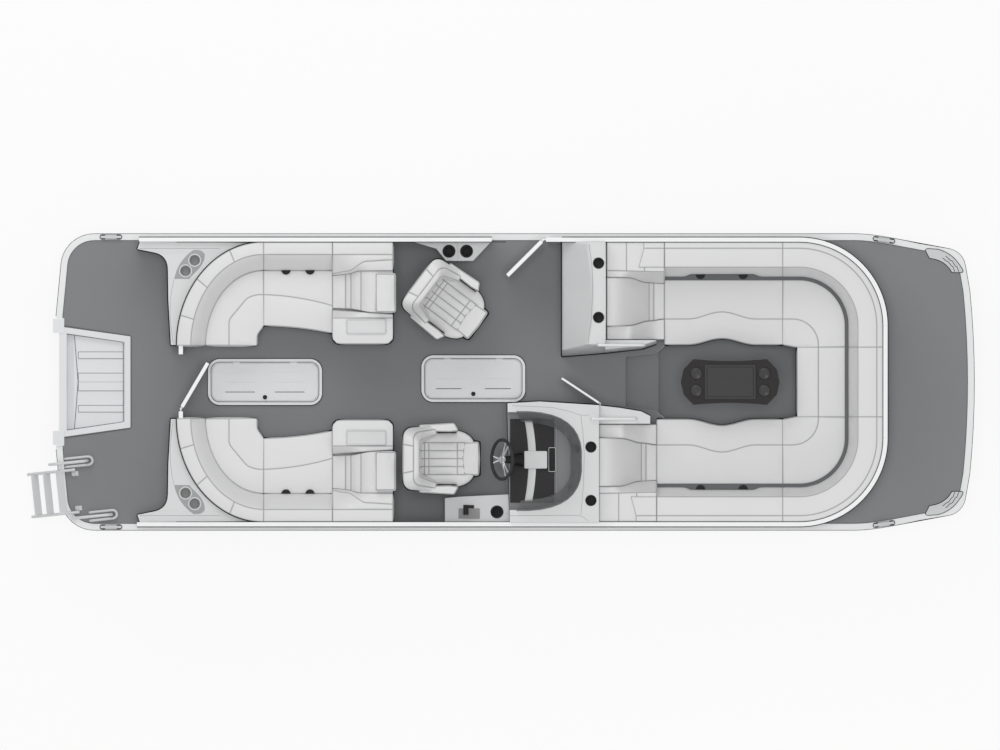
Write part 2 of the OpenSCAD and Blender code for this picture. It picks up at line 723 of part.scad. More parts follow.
module port_console() color("gainsboro") difference() {
    union() {
        intersection() {
            slab([[port_con_x, 221], [con_band + 5, 257], [con_band + 5, cabin - gap], [port_con_x, cabin - gap]],
                 deck_top, con_top + 1);
            section_y([[port_con_x, deck_top], [con_band + 5, deck_top], [con_band + 5, con_top],
                       [port_con_x + 246, con_top], [port_con_x, con_top - 320]], 0, half);
        }
        // coaming that runs forward beside the chaise
        slab([[con_band, 256], [bow - 2912, 286], [bow - 2780, 330], [bow - 2780, chaise_y0 + 20],
              [con_band, chaise_y0 + 20]], deck_top, coaming_z);
    }
    for (y = [565, 1040]) cup(con_band - 65, y, con_top);
}

helm_aft = bow - 4063;
helm_band = bow - 3287;
dash_y0 = 324;
dash_y1 = 1056;

// Outer edge of the console in plan
function helm_plan() =
    [[helm_aft - 20, -187], [helm_aft + 264, -171], [bow - 3274, -204], [helm_band + 5, -205],
     [helm_band + 5, -cabin + gap], [helm_aft, -cabin + gap]];

// The dash lies in a recess that is open to the stern, round at the bow
recess_y0 = -262;
recess_mid = -692;
function recess_half() = bend([helm_aft + 60, recess_y0], [bow - 3400, recess_y0 + 20], [bow - 3440, recess_mid], 10);
function recess_path() = concat(recess_half(), [for (q = rev(recess_half())) if (q.y > recess_mid + 1)
    [q.x, 2 * recess_mid - q.y]]);

dash_slope = [[helm_aft, con_top - 270], [helm_aft + 400, con_top - 60]];
dash_along = unit(dash_slope[1] - dash_slope[0]);
dash_out = [-dash_along.y, dash_along.x];
dash_len = norm(dash_slope[1] - dash_slope[0]);

// Point of the dash's side view, d along the slope and t out of it
function dash_at(d, t) = dash_slope[0] + d * dash_along + t * dash_out;

module helm_console() color("gainsboro") difference() {
    union() {
        slab(helm_plan(), deck_top, con_top);
        slab([[helm_band, -205], [bow - 3099, -227], [bow - 2915, -257], [bow - 2834, -298],
              [bow - 2834, -chaise_y0 - 20], [helm_band, -chaise_y0 - 20]], deck_top, coaming_z);
        translate([door_hinge.x, door_hinge.y, 0]) rotate(-90)
            for (z = [deck_top + 150, bow_back_z - 200]) hinge_pin(z, door_stand + 8);
    }
    intersection() {
        slab(concat([[helm_aft - 60, recess_y0]], recess_path(), [[helm_aft - 60, 2 * recess_mid - recess_y0]]),
             deck_top, con_top + 1);
        section_y([dash_at(-200, 0), dash_slope[0], dash_slope[1], [helm_aft + 420, con_top - 40],
                   [helm_band, con_top - 40], [helm_band, con_top + 60], [helm_aft - 100, con_top + 60]],
                  -cabin, 0);
    }
    for (y = [569, 1037]) cup(helm_band - 66, -y, con_top);
}

dash_t = 14;
module dash() color("black") section_y(
    [dash_at(10, gap), dash_at(dash_len - 10, gap), dash_at(dash_len - 10, dash_t), dash_at(10, dash_t)],
    -dash_y1, -dash_y0);

screen_h = 200;
screen_lean = 95;
screen_t = 7;

module windscreen() color([0.3, 0.3, 0.32, 0.6]) {
    mid = [helm_aft + 250, recess_mid];
    skin([for (q = recess_path()) let (d = unit(mid - q), out = q - 8 * d)
        [for (c = [[0, 0], [screen_t, 0], [screen_t + screen_lean, 1], [screen_lean, 1]])
            [out.x + c.x * d.x, out.y + c.x * d.y, con_top + gap + c.y * screen_h]]]);
}

stand_top = deck_top + chair_seat_h - 130;   // low enough for the chairs to turn above

module throttle_stand() color("gainsboro") difference() {
    slab([[bow - 4631, -1015], [bow - 4490, -1003], [helm_aft - 12, -983], [helm_aft - 2, -cabin + gap],
          [bow - 4631, -cabin + gap]], deck_top, stand_top);
    cup(bow - 4175, -1137, stand_top);
}

module throttle() color("black") union() {
    block([bow - 4470, -1161, stand_top + gap], [bow - 4424, -1115, stand_top + 110]);
    block([bow - 4470, -1125, stand_top + 80], [bow - 4424, -1075, stand_top + 110]);
    block([bow - 4470, -1105, stand_top + 84], [bow - 4376, -1077, stand_top + 108]);
}

// Two blocks side by side, with a cup holder in each
module port_stand() color("gainsboro") {
    split = bow - 4518;
    cups = [bow - 4595, bow - 4441];
    difference() {
        slab([[split - gap, cabin - gap], [split - gap, 1059], [bow - 4621, 1059], [bow - 4705, 1165],
              [bow - 4910, cabin - gap]], deck_top, stand_top);
        cup(cups[0], 1144, stand_top);
    }
    difference() {
        slab(concat([[gate_aft - 8, cabin - gap]],
                    bend([gate_aft - 8, cabin - gap], [bow - 4300, 1150], [bow - 4383, 1059], 2),
                    [[split, 1059], [split, cabin - gap]]), deck_top, stand_top);
        cup(cups[1], 1144, stand_top);
    }
}

// Grab rails that run down from the consoles' tops to the coamings
module console_rails() color("silver") {
    for (q = [[bow - 3289, bow - 2887, 322], [bow - 3349, bow - 2957, -322]])
        bent_tube(rounded([[q.x, q.z, con_top], [q.x, q.z, con_top + 60],
                           [q.y, q.z, bow_back_z + 40], [q.y, q.z, coaming_z]], 40), 12);
}

// --- Table ----------------------------------------------------------------

table_c = [bow - 2134, 0];
table_w = 402;
table_z = well_z + table_h;
table_t = 42;

function table_plan() = let (x = table_l / 2, y = table_w / 2) concat(
    bend([-x + 110, y], [0, y - 36], [x - 110, y], 8), [[x - 25, y - 90]],
    [[x, 0]], [[x - 25, -y + 90]],
    bend([x - 110, -y], [0, -y + 36], [-x + 110, -y], 8), [[-x + 25, -y + 90]], [[-x, 0]], [[-x + 25, y - 90]]);

module table() color([0.2, 0.2, 0.2]) translate([table_c.x, table_c.y, 0]) difference() {
    slab(table_plan(), table_z - table_t, table_z);
    translate([0, 0, table_z - 6]) linear_extrude(7) square([455, 310], center = true);
    for (x = [-297, 297], y = [-75, 75]) translate([x, y, table_z - 28]) cylinder(r = cup_r, h = 29);
}

module table_post() color("silver") translate([table_c.x, table_c.y, 0]) {
    translate([0, 0, well_z]) cylinder(r = 110, h = 12);
    translate([0, 0, well_z + 11]) cylinder(r = 35, h = table_z - table_t - well_z - 11);
}

// --- Chairs ---------------------------------------------------------------

helm_c = [bow - 4643.5, -671];
companion_c = [bow - 4590, 677];
companion_turn = -37;
chair_z = deck_top + chair_seat_h;
pan_z = chair_z - 115;
chair_back_x = -358;
chair_front_x = 311;
chair_half = 302;

module pedestal(c) color("silver") translate([c.x, c.y, 0]) union() {
    translate([0, 0, deck_top]) cylinder(r = 150, h = 12);
    translate([0, 0, deck_top + 11]) cylinder(r = 38, h = pan_z - deck_top - 11 - 13 - gap);
}

// One captain's chair at the origin, facing +X
module chair() color("whitesmoke") union() {
    // swivel plate and pan
    translate([0, 0, pan_z - 13]) cylinder(r = 110, h = 14);
    // seat with its front bolster
    translate([0, 0, pan_z]) linear_extrude(chair_z - pan_z) union() {
        polygon([[-250, -250], [100, -250], [230, -165], [chair_front_x, -165], [chair_front_x, 165],
                 [230, 165], [100, 250], [-250, 250]]);
    }
    // wrap-round back
    translate([0, 0, pan_z + 5]) linear_extrude(chair_back_h - chair_seat_h + chair_z - pan_z - 5) difference() {
        hull() for (s = [-1, 1]) {
            translate([chair_back_x + 165, s * (chair_half - 165)]) circle(165);
            translate([-60, s * 170]) circle(60);
        }
        translate([-20, 0]) hull() for (s = [-1, 1]) {
            translate([-170, s * 90]) circle(70);
            translate([200, s * 150]) circle(60);
        }
    }
    // arms
    for (s = [-1, 1])
        translate([0, 0, chair_z + 150]) linear_extrude(45)
            polygon([[-200, s * 235], [-200, s * 290], [84, s * 318], [125, s * 240], [100, s * 225]]);
}

module helm_pedestal() pedestal(helm_c);
module companion_pedestal() pedestal(companion_c);
module helm_chair() translate([helm_c.x, helm_c.y, 0]) chair();
module companion_chair() translate([companion_c.x, companion_c.y, 0]) rotate(companion_turn) chair();

// --- Steering -------------------------------------------------------------

wheel_tilt = 58;     // wheel's axis leans this far back from upright
hub = [bow - 4130, -679, con_top - 105];
wheel_rim = 15;

module steering_column() color("black") difference() {
    translate(hub) rotate([0, -wheel_tilt, 0]) translate([0, 0, -240]) cylinder(r = 32, h = 221.5);
    // cut off on the dash
    section_y([dash_at(-200, dash_t + gap), dash_at(dash_len, dash_t + gap), dash_at(dash_len, -200), dash_at(-200, -200)],
              hub.y - 100, hub.y + 100);
}

module steering_wheel() color("black") translate(hub) rotate([0, -wheel_tilt, 0]) union() {
    rotate_extrude() translate([wheel_d / 2 - wheel_rim, 0]) circle(wheel_rim);
    translate([0, 0, -18]) cylinder(r = 42, h = 30);
    for (a = [60, 180, 300]) rotate(a) block([30, -16, -7], [wheel_d / 2 - wheel_rim, 16, 3]);
}

// --- Floor lockers --------------------------------------------------------

hinge_off = 6;                      // lid's hinge axis lies over the rim by this much
lid_gap = 3;
barrel_r = 5;
barrel_l = 60;
lid_top = deck_top + rim_t - 2;
lid_axis_z = deck_top + rim_t + barrel_r + 1;

// Lid's hinge axis in Y, for a rim of width w centred at y
function lid_axis_y(y, w) = y + w / 2 - rim_w + hinge_off;

module locker(c, l, w) color("whitesmoke") union() {
    translate([c.x, c.y, deck_top + gap]) linear_extrude(rim_t - gap) difference() {
        pill(l, w, hatch_r);
        pill(l - 2 * rim_w, w - 2 * rim_w, hatch_r - rim_w);
    }
    x = l / 2 - tub_inset;
    y = w / 2 - tub_inset;
    difference() {
        union() {
            block([c.x - x, c.y - y, deck_top - tub_depth], [c.x + x, c.y + y, deck_top - 2]);
            translate([c.x, c.y, deck_top - 3]) linear_extrude(4) pill(l - 50, w - 50, hatch_r - 25);
        }
        block([c.x - x + tub_t, c.y - y + tub_t, deck_top - tub_depth + tub_t],
              [c.x + x - tub_t, c.y + y - tub_t, deck_top + 2]);
    }
    // lugs and pins of the lid's hinges
    for (s = [-1, 1]) translate([c.x + s * l / 4, lid_axis_y(c.y, w), lid_axis_z]) {
        translate([-barrel_l / 2 - 8, 0, 0]) rotate([0, 90, 0]) cylinder(r = 3, h = barrel_l + 16);
        for (e = [-1, 1]) block([e * (barrel_l / 2 + 5) - 4, -4, deck_top + rim_t - 1 - lid_axis_z],
                                [e * (barrel_l / 2 + 5) + 4, 6, 4]);
    }
}

module hatch(c, l, w) color("gainsboro") difference() {
    union() {
        translate([c.x, c.y, deck_top + 1 + gap]) linear_extrude(lid_top - deck_top - 1 - gap)
            pill(l - 2 * (rim_w + lid_gap), w - 2 * (rim_w + lid_gap), hatch_r - rim_w - lid_gap);
        for (s = [-1, 1]) translate([c.x + s * l / 4, lid_axis_y(c.y, w), lid_axis_z]) {
            translate([-barrel_l / 2, 0, 0]) rotate([0, 90, 0]) cylinder(r = barrel_r, h = barrel_l);
            block([-barrel_l / 2, -40, lid_top - 1 - lid_axis_z], [barrel_l / 2, -hinge_off - lid_gap, 0]);
            block([-barrel_l / 2, -hinge_off - lid_gap - 1, -barrel_r], [barrel_l / 2, 0, 0]);
        }
    }
    for (s = [-1, 1]) translate([c.x + s * l / 4, lid_axis_y(c.y, w), lid_axis_z])
        translate([-barrel_l / 2 - 1, 0, 0]) rotate([0, 90, 0]) cylinder(r = 3.3, h = barrel_l + 2);
    for (x = [-l / 4.85, l / 4.85], y = [-88, -4, 80])
        block([c.x + x - 140, c.y + y - 3, lid_top - 3], [c.x + x + 140, c.y + y + 3, lid_top + 1]);
}

module aft_locker() locker(aft_hatch_c, hatch_l, aft_hatch_w);
module forward_locker() locker(fwd_hatch_c, fwd_hatch_l, fwd_hatch_w);
module aft_hatch() hatch(aft_hatch_c, hatch_l, aft_hatch_w);
module forward_hatch() hatch(fwd_hatch_c, fwd_hatch_l, fwd_hatch_w);

// --- Boarding ladder ------------------------------------------------------

ladder_c = [stern + ladder_in, -954];  // middle of the ladder's hinge in plan
hinge_z = deck_top + 34;
ladder_pin = 6;
lug_y = ladder_w / 2 - 34;             // brackets inside the rails

// Moves a ladder drawn at the origin, hinge along Y and rails towards -X, to its place
module at_ladder() translate([ladder_c.x, ladder_c.y, hinge_z]) rotate(ladder_turn) children();

module ladder_brackets() color("silver") at_ladder() for (s = [-1, 1]) difference() {
    union() {
        block([-18, s * lug_y - 4, deck_top - hinge_z], [18, s * lug_y + 4, 12]);
        block([-18, s * lug_y - 20, deck_top - hinge_z], [40, s * lug_y + 20, deck_top - hinge_z + 6]);
    }
    translate([0, s * lug_y - 10, 0]) rotate([-90, 0, 0]) cylinder(r = ladder_pin + 0.1, h = 20);
}

// The slope turns down about this point of the level stretch
ladder_bend = [-ladder_level, 0, 0];
module boarding_ladder() color("silver") at_ladder() union() {
    for (s = [-1, 1]) {
        translate([15, s * ladder_w / 2, 0]) rotate([0, -90, 0]) cylinder(r = ladder_r, h = ladder_level + 15);
        translate([-ladder_level, s * ladder_w / 2, 0]) sphere(r = ladder_r + 0.4);
        translate([-ladder_level, s * ladder_w / 2, 0]) rotate([0, -90 - ladder_slope, 0])
            cylinder(r = ladder_r, h = ladder_l);
        translate([0, s * lug_y - 24, 0]) rotate([-90, 0, 0]) cylinder(r = ladder_pin, h = 48);
    }
    tread(-ladder_level + 36, 0);
    for (t = [0.33, 0.77])
        tread(-ladder_level - t * ladder_l * cos(ladder_slope), -t * ladder_l * sin(ladder_slope));
}

module tread(x, z) block([x - 32, -ladder_w / 2, z - 10], [x + 32, ladder_w / 2, z + 10]);

// Grab rail whose post stands at the origin: a high hoop and a low loop round its foot
hoop_h = 400;
hoop_l = 355;
loop_l = 190;
loop_w = 36;
loop_z = 28;
module grab_rail(foot) {
    bent_tube(rounded([[0, 0, deck_top], [0, 0, deck_top + hoop_h], [-hoop_l, 0, deck_top + hoop_h - 30],
                       [foot, 0, deck_top + 90], [foot, 0, deck_top]], 80), ladder_r);
    bent_tube(concat(rounded([[-loop_l, loop_w, deck_top], [-loop_l, loop_w, deck_top + loop_z],
                              [0, loop_w, deck_top + loop_z]], 14, 3),
                     [for (q = arc([10, 0], loop_w, loop_w, 80, -80, 8)) [q.x, q.y, deck_top + loop_z]],
                     rounded([[0, -loop_w, deck_top + loop_z], [-loop_l, -loop_w, deck_top + loop_z],
                              [-loop_l, -loop_w, deck_top]], 14, 3)), ladder_r - 1);
}

module ladder_grab_rails() color("silver")
    for (q = [[stern + 273, -689, -235], [stern + 486, -1158, -330]])
        translate([q.x, q.y, 0]) rotate(ladder_turn) grab_rail(q.z);

// --- Gates and door -------------------------------------------------------

// A gate leaf whose hinge axis is the origin, along +X, its frame begins at x0
module leaf(x0, l, t, z0, z1, eyes) difference() {
    union() {
        for (z = [z0, z1 - 32]) block([x0, -t / 2, z], [l, t / 2, z + 32]);
        for (x = [x0, l - 32]) block([x, -t / 2, z0], [x + 32, t / 2, z1]);
        block([x0 + 12, -panel_t / 2, z0 + 10], [l - 12, panel_t / 2, z1 - 10]);
        for (z = eyes) {
            translate([0, 0, z - eye_h / 2 + 0.3]) cylinder(r = eye_r, h = eye_h - 0.6);
            block([0, -eye_r + 1, z - eye_h / 2 + 0.3], [x0 + 1, eye_r - 1, z + eye_h / 2 - 0.3]);
        }
    }
    for (z = eyes) translate([0, 0, z - eye_h]) cylinder(r = pin_r + 0.2, h = 2 * eye_h);
}

// How far each hinge axis stands off what carries it
stern_t = fence_t - 6;
stern_stand = stern_t / 2 + run;
stern_hinge = [stub_x + post_w / 2, -stern_gate_w / 2];
stern_open = 59.6;     // how far the open gate lies from +X
module stern_gate() color("white") translate([stern_hinge.x, stern_hinge.y, 0]) rotate(stern_open)
    leaf(stern_stand, stern_gate_w - run, stern_t, deck_top + 50, fence_top - 45, pin_heights);

side_t = fence_t - 4;
side_stand = side_t / 2 + run;
side_hinge = [gate_fwd - side_stand, cabin + fence_t / 2];
side_open = 225;
module side_gate() color("white") translate([side_hinge.x, side_hinge.y, 0]) rotate(side_open)
    leaf(side_stand, side_gate_w - side_stand - run, side_t, deck_top + 50, fence_top, pin_heights);

door_t = 18;
door_stand = door_t / 2 + run;
door_hinge = [bow - 3273, -204 + door_stand];
door_open = 146.5;
module bow_door() color("white") translate([door_hinge.x, door_hinge.y, 0]) rotate(door_open)
    leaf(door_stand, 402, door_t, deck_top + 50, bow_back_z - 60, [deck_top + 150, bow_back_z - 200]);

// --- Everything -----------------------------------------------------------

port_tube();
starboard_tube();
centre_tube();
motor_pod();
transom();
motor_well();
cross_members();
risers();
deck();
bow_well();
rub_rail();
fence_port_stern();
fence_port_bow();
fence_starboard();
gate_posts();
corner_castings();
cleats();
port_lounge_base();
port_lounge_seat();
port_lounge_back();
port_chaise();
port_pillow();
port_corner_shell();
starboard_lounge_base();
starboard_lounge_seat();
starboard_lounge_back();
starboard_chaise();
starboard_pillow();
starboard_corner_shell();
bow_seat_base();
bow_seats();
bow_backs();
port_bow_chaise();
starboard_bow_chaise();
port_console();
helm_console();
dash();
windscreen();
throttle_stand();
throttle();
port_stand();
console_rails();
table();
table_post();
helm_pedestal();
helm_chair();
companion_pedestal();
companion_chair();
steering_column();
steering_wheel();
aft_locker();
aft_hatch();
forward_locker();
forward_hatch();
ladder_brackets();
ladder_grab_rails();
boarding_ladder();
stern_gate();
side_gate();
bow_door();
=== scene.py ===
# %% [markdown]
# # A pontoon boat, with its upholstery and finishes
# The boat arrives as plain solids: tubes, deck, fences, seats, consoles. They are already in the
# right place and size, so this lesson only changes how they look. Hard pieces whose shape is right
# get a finish; soft pieces and mouldings are modelled again over the plain solid they stand for.

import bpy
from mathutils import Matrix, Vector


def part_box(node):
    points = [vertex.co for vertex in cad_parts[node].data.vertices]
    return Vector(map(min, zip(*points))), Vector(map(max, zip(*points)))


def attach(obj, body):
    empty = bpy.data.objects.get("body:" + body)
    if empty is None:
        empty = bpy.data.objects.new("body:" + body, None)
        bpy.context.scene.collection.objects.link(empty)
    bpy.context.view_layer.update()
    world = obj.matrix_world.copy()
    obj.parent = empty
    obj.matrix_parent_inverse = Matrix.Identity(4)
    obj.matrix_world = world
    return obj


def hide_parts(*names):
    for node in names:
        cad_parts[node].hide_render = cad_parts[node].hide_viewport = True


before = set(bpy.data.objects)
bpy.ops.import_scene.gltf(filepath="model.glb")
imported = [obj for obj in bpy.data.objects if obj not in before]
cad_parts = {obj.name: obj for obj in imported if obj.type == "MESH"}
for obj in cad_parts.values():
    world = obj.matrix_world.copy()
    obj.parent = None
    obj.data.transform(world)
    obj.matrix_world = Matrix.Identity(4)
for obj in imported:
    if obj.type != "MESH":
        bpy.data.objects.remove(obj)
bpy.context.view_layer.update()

import math

import bmesh
import bpy
import numpy as np
from mathutils import Vector
from mathutils.geometry import convex_hull_2d

# %% [markdown]
# ## Reading sizes off the boat
# Every piece below is placed from a few stations that the solids give: the ends of the deck, the
# inner face of the side fence, and the levels of the floor and the seats. Lengths are metres, and
# `mm` turns a maker's millimetres into them.

# %% Stations and levels
mm = 0.001


def low(node):
    """The corner of a node's box nearest the stern, starboard and ground."""
    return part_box(node)[0]


def high(node):
    """The corner nearest the bow, port and sky."""
    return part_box(node)[1]


stern, bow = low("rub_rail").x, high("rub_rail").x
half_beam = high("rub_rail").y
deck_top = high("deck").z
fence_top = high("fence_port_bow").z
fence_t = 37 * mm
cabin = high("fence_port_bow").y - fence_t
front_x = high("fence_port_bow").x - fence_t
fence_r = 737 * mm
corner = np.array([front_x - fence_r, cabin - fence_r])
rear_seat = high("port_lounge_seat").z
rear_base = low("port_lounge_seat").z
rear_back = high("port_lounge_back").z
bow_seat = high("bow_seats").z
bow_base = low("bow_seats").z
bow_back = high("bow_backs").z
con_top = high("port_console").z
print(f"deck {bow - stern:.3f} m long, {2 * half_beam:.3f} m wide, floor at {deck_top:.3f} m")

# %% [markdown]
# ## Camera, floor and light
# The boat is seen from straight above, so the camera is orthographic and looks down: nothing leans
# outwards, as on a plan. Big soft lamps and a pale world keep shadows open, and a
# soft light that falls plumb reaches the floor between the seats. The floor is plain and
# pale; a camera ray sees it brighter than the boat does, so it makes a clean ground without
# throwing more light on the tubes.

# %% Camera
scene = bpy.context.scene
view_width, view_z = 8.75, 14
view_x, view_y = (stern + bow) / 2 - 132 * mm, 61 * mm


def linked(name, data):
    """A new object that holds this data, in the scene."""
    obj = bpy.data.objects.new(name, data)
    scene.collection.objects.link(obj)
    return obj


camera = linked("camera", bpy.data.cameras.new("camera"))
camera.data.type = "ORTHO"
camera.data.ortho_scale = view_width
camera.data.clip_end = 60
camera.location = (view_x, view_y, view_z)
scene.camera = camera
scene.view_settings.view_transform = "Standard"
print("camera", tuple(round(c, 3) for c in camera.location))

# %% Lamps and world
boat_middle = (0, 0, 0.8)
world_white, world_strength = (1.0, 1.0, 0.99, 1), 0.5


def lamp(name, kind, energy):
    """A new lamp; energy is in watts, or in watts per square metre for a sun."""
    light = bpy.data.lights.new(name, kind)
    light.energy = energy
    return linked(name, light)


def softbox(name, place, size, watts):
    """A rectangular lamp at place, turned towards the middle of the boat."""
    obj = lamp(name, "AREA", watts)
    obj.data.shape = "RECTANGLE"
    obj.data.size, obj.data.size_y = size
    obj.location = place
    direction = (np.array(boat_middle) - np.array(place)).tolist()
    obj.rotation_euler = Vector(direction).to_track_quat("-Z", "Y").to_euler()


softbox("key", (-3, 7, 9), (7, 5), 215)
softbox("fill", (4, -8, 7), (8, 4), 100)
plumb_light = lamp("plumb", "SUN", 1.12)
plumb_light.data.angle = math.radians(16)
plumb_light.visible_glossy = False
scene.world = bpy.data.worlds.new("studio")
scene.world.use_nodes = True
background = scene.world.node_tree.nodes["Background"]
background.inputs["Color"].default_value = world_white
background.inputs["Strength"].default_value = world_strength
print("two softboxes, a plumb light and a pale world")

# %% [markdown]
# ## Shapes from formulas
# Each new piece is an array of points. A *grid* is a function of two parameters; its faces follow
# from its rows and columns alone. A closed body whose faces point inwards has a negative volume,
# which is a quick and certain test, so every mesh is turned the right way as it is made.

# %% Faces of a grid, and turning a shape outwards
def grid_faces(rows, cols, close_rows=False, close_cols=False):
    """Four-cornered faces between neighbouring points of a rows x cols grid."""
    i = np.arange(rows if close_rows else rows - 1)
    j = np.arange(cols if close_cols else cols - 1)
    i, j = (a.ravel() for a in np.meshgrid(i, j, indexing="ij"))
    i1, j1 = (i + 1) % rows, (j + 1) % cols
    return np.stack([i * cols + j, i1 * cols + j, i1 * cols + j1, i * cols + j1], axis=1)


def signed_volume(verts, faces):
    """Sum of the tetrahedra from the origin to each face: a . (b x c) / 6, by triangle fans."""
    total = 0.0
    for size in sorted({len(f) for f in faces}):
        block = np.array([f for f in faces if len(f) == size])
        for k in range(1, size - 1):
            a, b, c = verts[block[:, 0]], verts[block[:, k]], verts[block[:, k + 1]]
            total += np.einsum("ij,ij->", a, np.cross(b, c)) / 6
    return total


def outward(points, faces):
    """Points as rows of three, and faces as lists, reversed where the volume comes out negative."""
    points = np.asarray(points, float).reshape(-1, 3)
    faces = [list(map(int, f)) for f in faces]
    if signed_volume(points - points.mean(0), faces) < 0:
        faces = [f[::-1] for f in faces]
    return points, faces


def faced_out(work):
    """Turns every face of a closed bmesh outwards."""
    bmesh.ops.recalc_face_normals(work, faces=work.faces[:])
    if work.calc_volume(signed=True) < 0:
        bmesh.ops.reverse_faces(work, faces=work.faces[:])


def crisp(mesh, angle):
    """Smooth shading, with the edges that turn by more than angle degrees left crisp."""
    mesh.polygons.foreach_set("use_smooth", np.ones(len(mesh.polygons), bool))
    mesh.set_sharp_from_angle(angle=math.radians(angle))


def add_piece(name, verts, faces, smooth_angle=40, values=None):
    """A mesh object whose closed faces look outwards, with one number per point for each value."""
    verts, faces = outward(verts, faces)
    mesh = bpy.data.meshes.new(name)
    mesh.from_pydata(verts.tolist(), [], faces)
    crisp(mesh, smooth_angle)
    for key, data in (values or {}).items():
        mesh.attributes.new(key, "FLOAT", "POINT").data.foreach_set("value", data.astype(np.float32))
    return linked(name, mesh)


def joined(name, parts, smooth_angle=40):
    """One piece from several closed shapes, each given as (points, faces)."""
    verts, faces, start = [], [], 0
    for points, shape in parts:
        points, shape = outward(points, shape)
        verts.append(points)
        faces += [[i + start for i in f] for f in shape]
        start += len(points)
    return add_piece(name, np.concatenate(verts), faces, smooth_angle)


# %% Outlines
def arc(centre, rx, ry, start, end, n=16):
    """Points of an ellipse: centre + (rx cos t, ry sin t), t from start to end in degrees."""
    t = np.radians(np.linspace(start, end, n + 1))
    return np.stack([centre[0] + rx * np.cos(t), centre[1] + ry * np.sin(t)], axis=1)


def bend(a, b, c, n=10):
    """Points of the parabola from a to c drawn towards b: (1-t)^2 a + 2t(1-t) b + t^2 c."""
    t = np.linspace(0, 1, n + 1)[:, None]
    return (1 - t) ** 2 * np.array(a) + 2 * t * (1 - t) * np.array(b) + t ** 2 * np.array(c)


def rounded(points, radius, n=5):
    """A route whose inner corners are replaced by parabolas that start radius before each corner."""
    p = [np.array(q, float) for q in points]
    route = [p[0][None]]
    for before, here, after in zip(p, p[1:], p[2:]):
        a = here + (before - here) / np.linalg.norm(before - here) * radius
        b = here + (after - here) / np.linalg.norm(after - here) * radius
        route.append(bend(a, here, b, n))
    return np.concatenate(route + [p[-1][None]])


def rounded_loop(points, radius, n=5):
    """A closed outline with every corner rounded."""
    p = [np.array(q, float) for q in points]
    return rounded([(p[-1] + p[0]) / 2] + p + [(p[-1] + p[0]) / 2], radius, n)[:-1]


def at_height(points, z):
    """Plan points lifted to height z, which may be one number or one per point."""
    points = np.asarray(points, float)
    return np.column_stack([points, np.broadcast_to(z, len(points))])


def rounded_box(l, w, r, n=6):
    """Outline of an l x w rectangle about the origin with quarter-circle corners of radius r."""
    x, y = l / 2 - r, w / 2 - r
    return np.concatenate([arc((x, y), r, r, 0, 90, n), arc((-x, y), r, r, 90, 180, n),
                           arc((-x, -y), r, r, 180, 270, n), arc((x, -y), r, r, 270, 360, n)])


# %% Bodies: stacked rings, slabs, tubes and turned shapes
def stacked(rings):
    """Closed body through rings of equal size, with flat ends: (points, faces)."""
    rings = np.asarray(rings, float)
    rows, cols = rings.shape[:2]
    faces = grid_faces(rows, cols, close_cols=True).tolist()
    faces += [list(range(cols)), list(range((rows - 1) * cols, rows * cols))[::-1]]
    return rings.reshape(-1, 3), faces


def inset(outline, d):
    """Outline moved inwards by d along the mean normal of each point's two edges."""
    nxt, prv = np.roll(outline, -1, axis=0), np.roll(outline, 1, axis=0)
    area = np.sum(outline[:, 0] * nxt[:, 1] - nxt[:, 0] * outline[:, 1])
    e1, e2 = outline - prv, nxt - outline
    e1 /= np.linalg.norm(e1, axis=1)[:, None] + 1e-12
    e2 /= np.linalg.norm(e2, axis=1)[:, None] + 1e-12
    normal = np.stack([-(e1 + e2)[:, 1], (e1 + e2)[:, 0]], axis=1)
    normal /= np.linalg.norm(normal, axis=1)[:, None] + 1e-12
    widen = 1 / np.clip(np.einsum("ij,ij->i", normal, np.stack([-e1[:, 1], e1[:, 0]], 1)), 0.5, 1)
    return outline + np.sign(area) * d * normal * widen[:, None]


def soft_slab(outline, z0, z1, top=6 * mm, bottom=0.0, n=3):
    """An outline from z0 to z1 whose rims are quarter rounds of radius top and bottom."""
    a = np.linspace(0, math.pi / 2, n + 1)
    rings = []
    if bottom:
        rings += [at_height(inset(outline, bottom * (1 - math.sin(t))), z0 + bottom * (1 - math.cos(t))) for t in a]
    else:
        rings.append(at_height(outline, z0))
    if top:
        rings += [at_height(inset(outline, top * (1 - math.cos(t))), z1 - top * (1 - math.sin(t))) for t in a]
    else:
        rings.append(at_height(outline, z1))
    return stacked(rings)


def swept(path, section, up=(0, 0, 1), closed=False):
    """A section (side, lift) carried along a path: p + side * (tangent x up) + lift * the third way."""
    path = np.asarray(path, float)
    ahead = (np.roll(path, -1, 0) - np.roll(path, 1, 0)) if closed else np.gradient(path, axis=0)
    ahead /= np.linalg.norm(ahead, axis=1)[:, None]
    side = np.cross(ahead, np.array(up, float))
    side /= np.linalg.norm(side, axis=1)[:, None]
    lift = np.cross(side, ahead)
    rings = path[:, None] + section[None, :, :1] * side[:, None] + section[None, :, 1:] * lift[:, None]
    if not closed:
        return stacked(rings)
    rows, cols = rings.shape[:2]
    return rings.reshape(-1, 3), grid_faces(rows, cols, close_rows=True, close_cols=True).tolist()


def round_section(r, n=12):
    """A circle of radius r as a section of n points."""
    return arc((0, 0), r, r, 0, 360, n)[:-1]


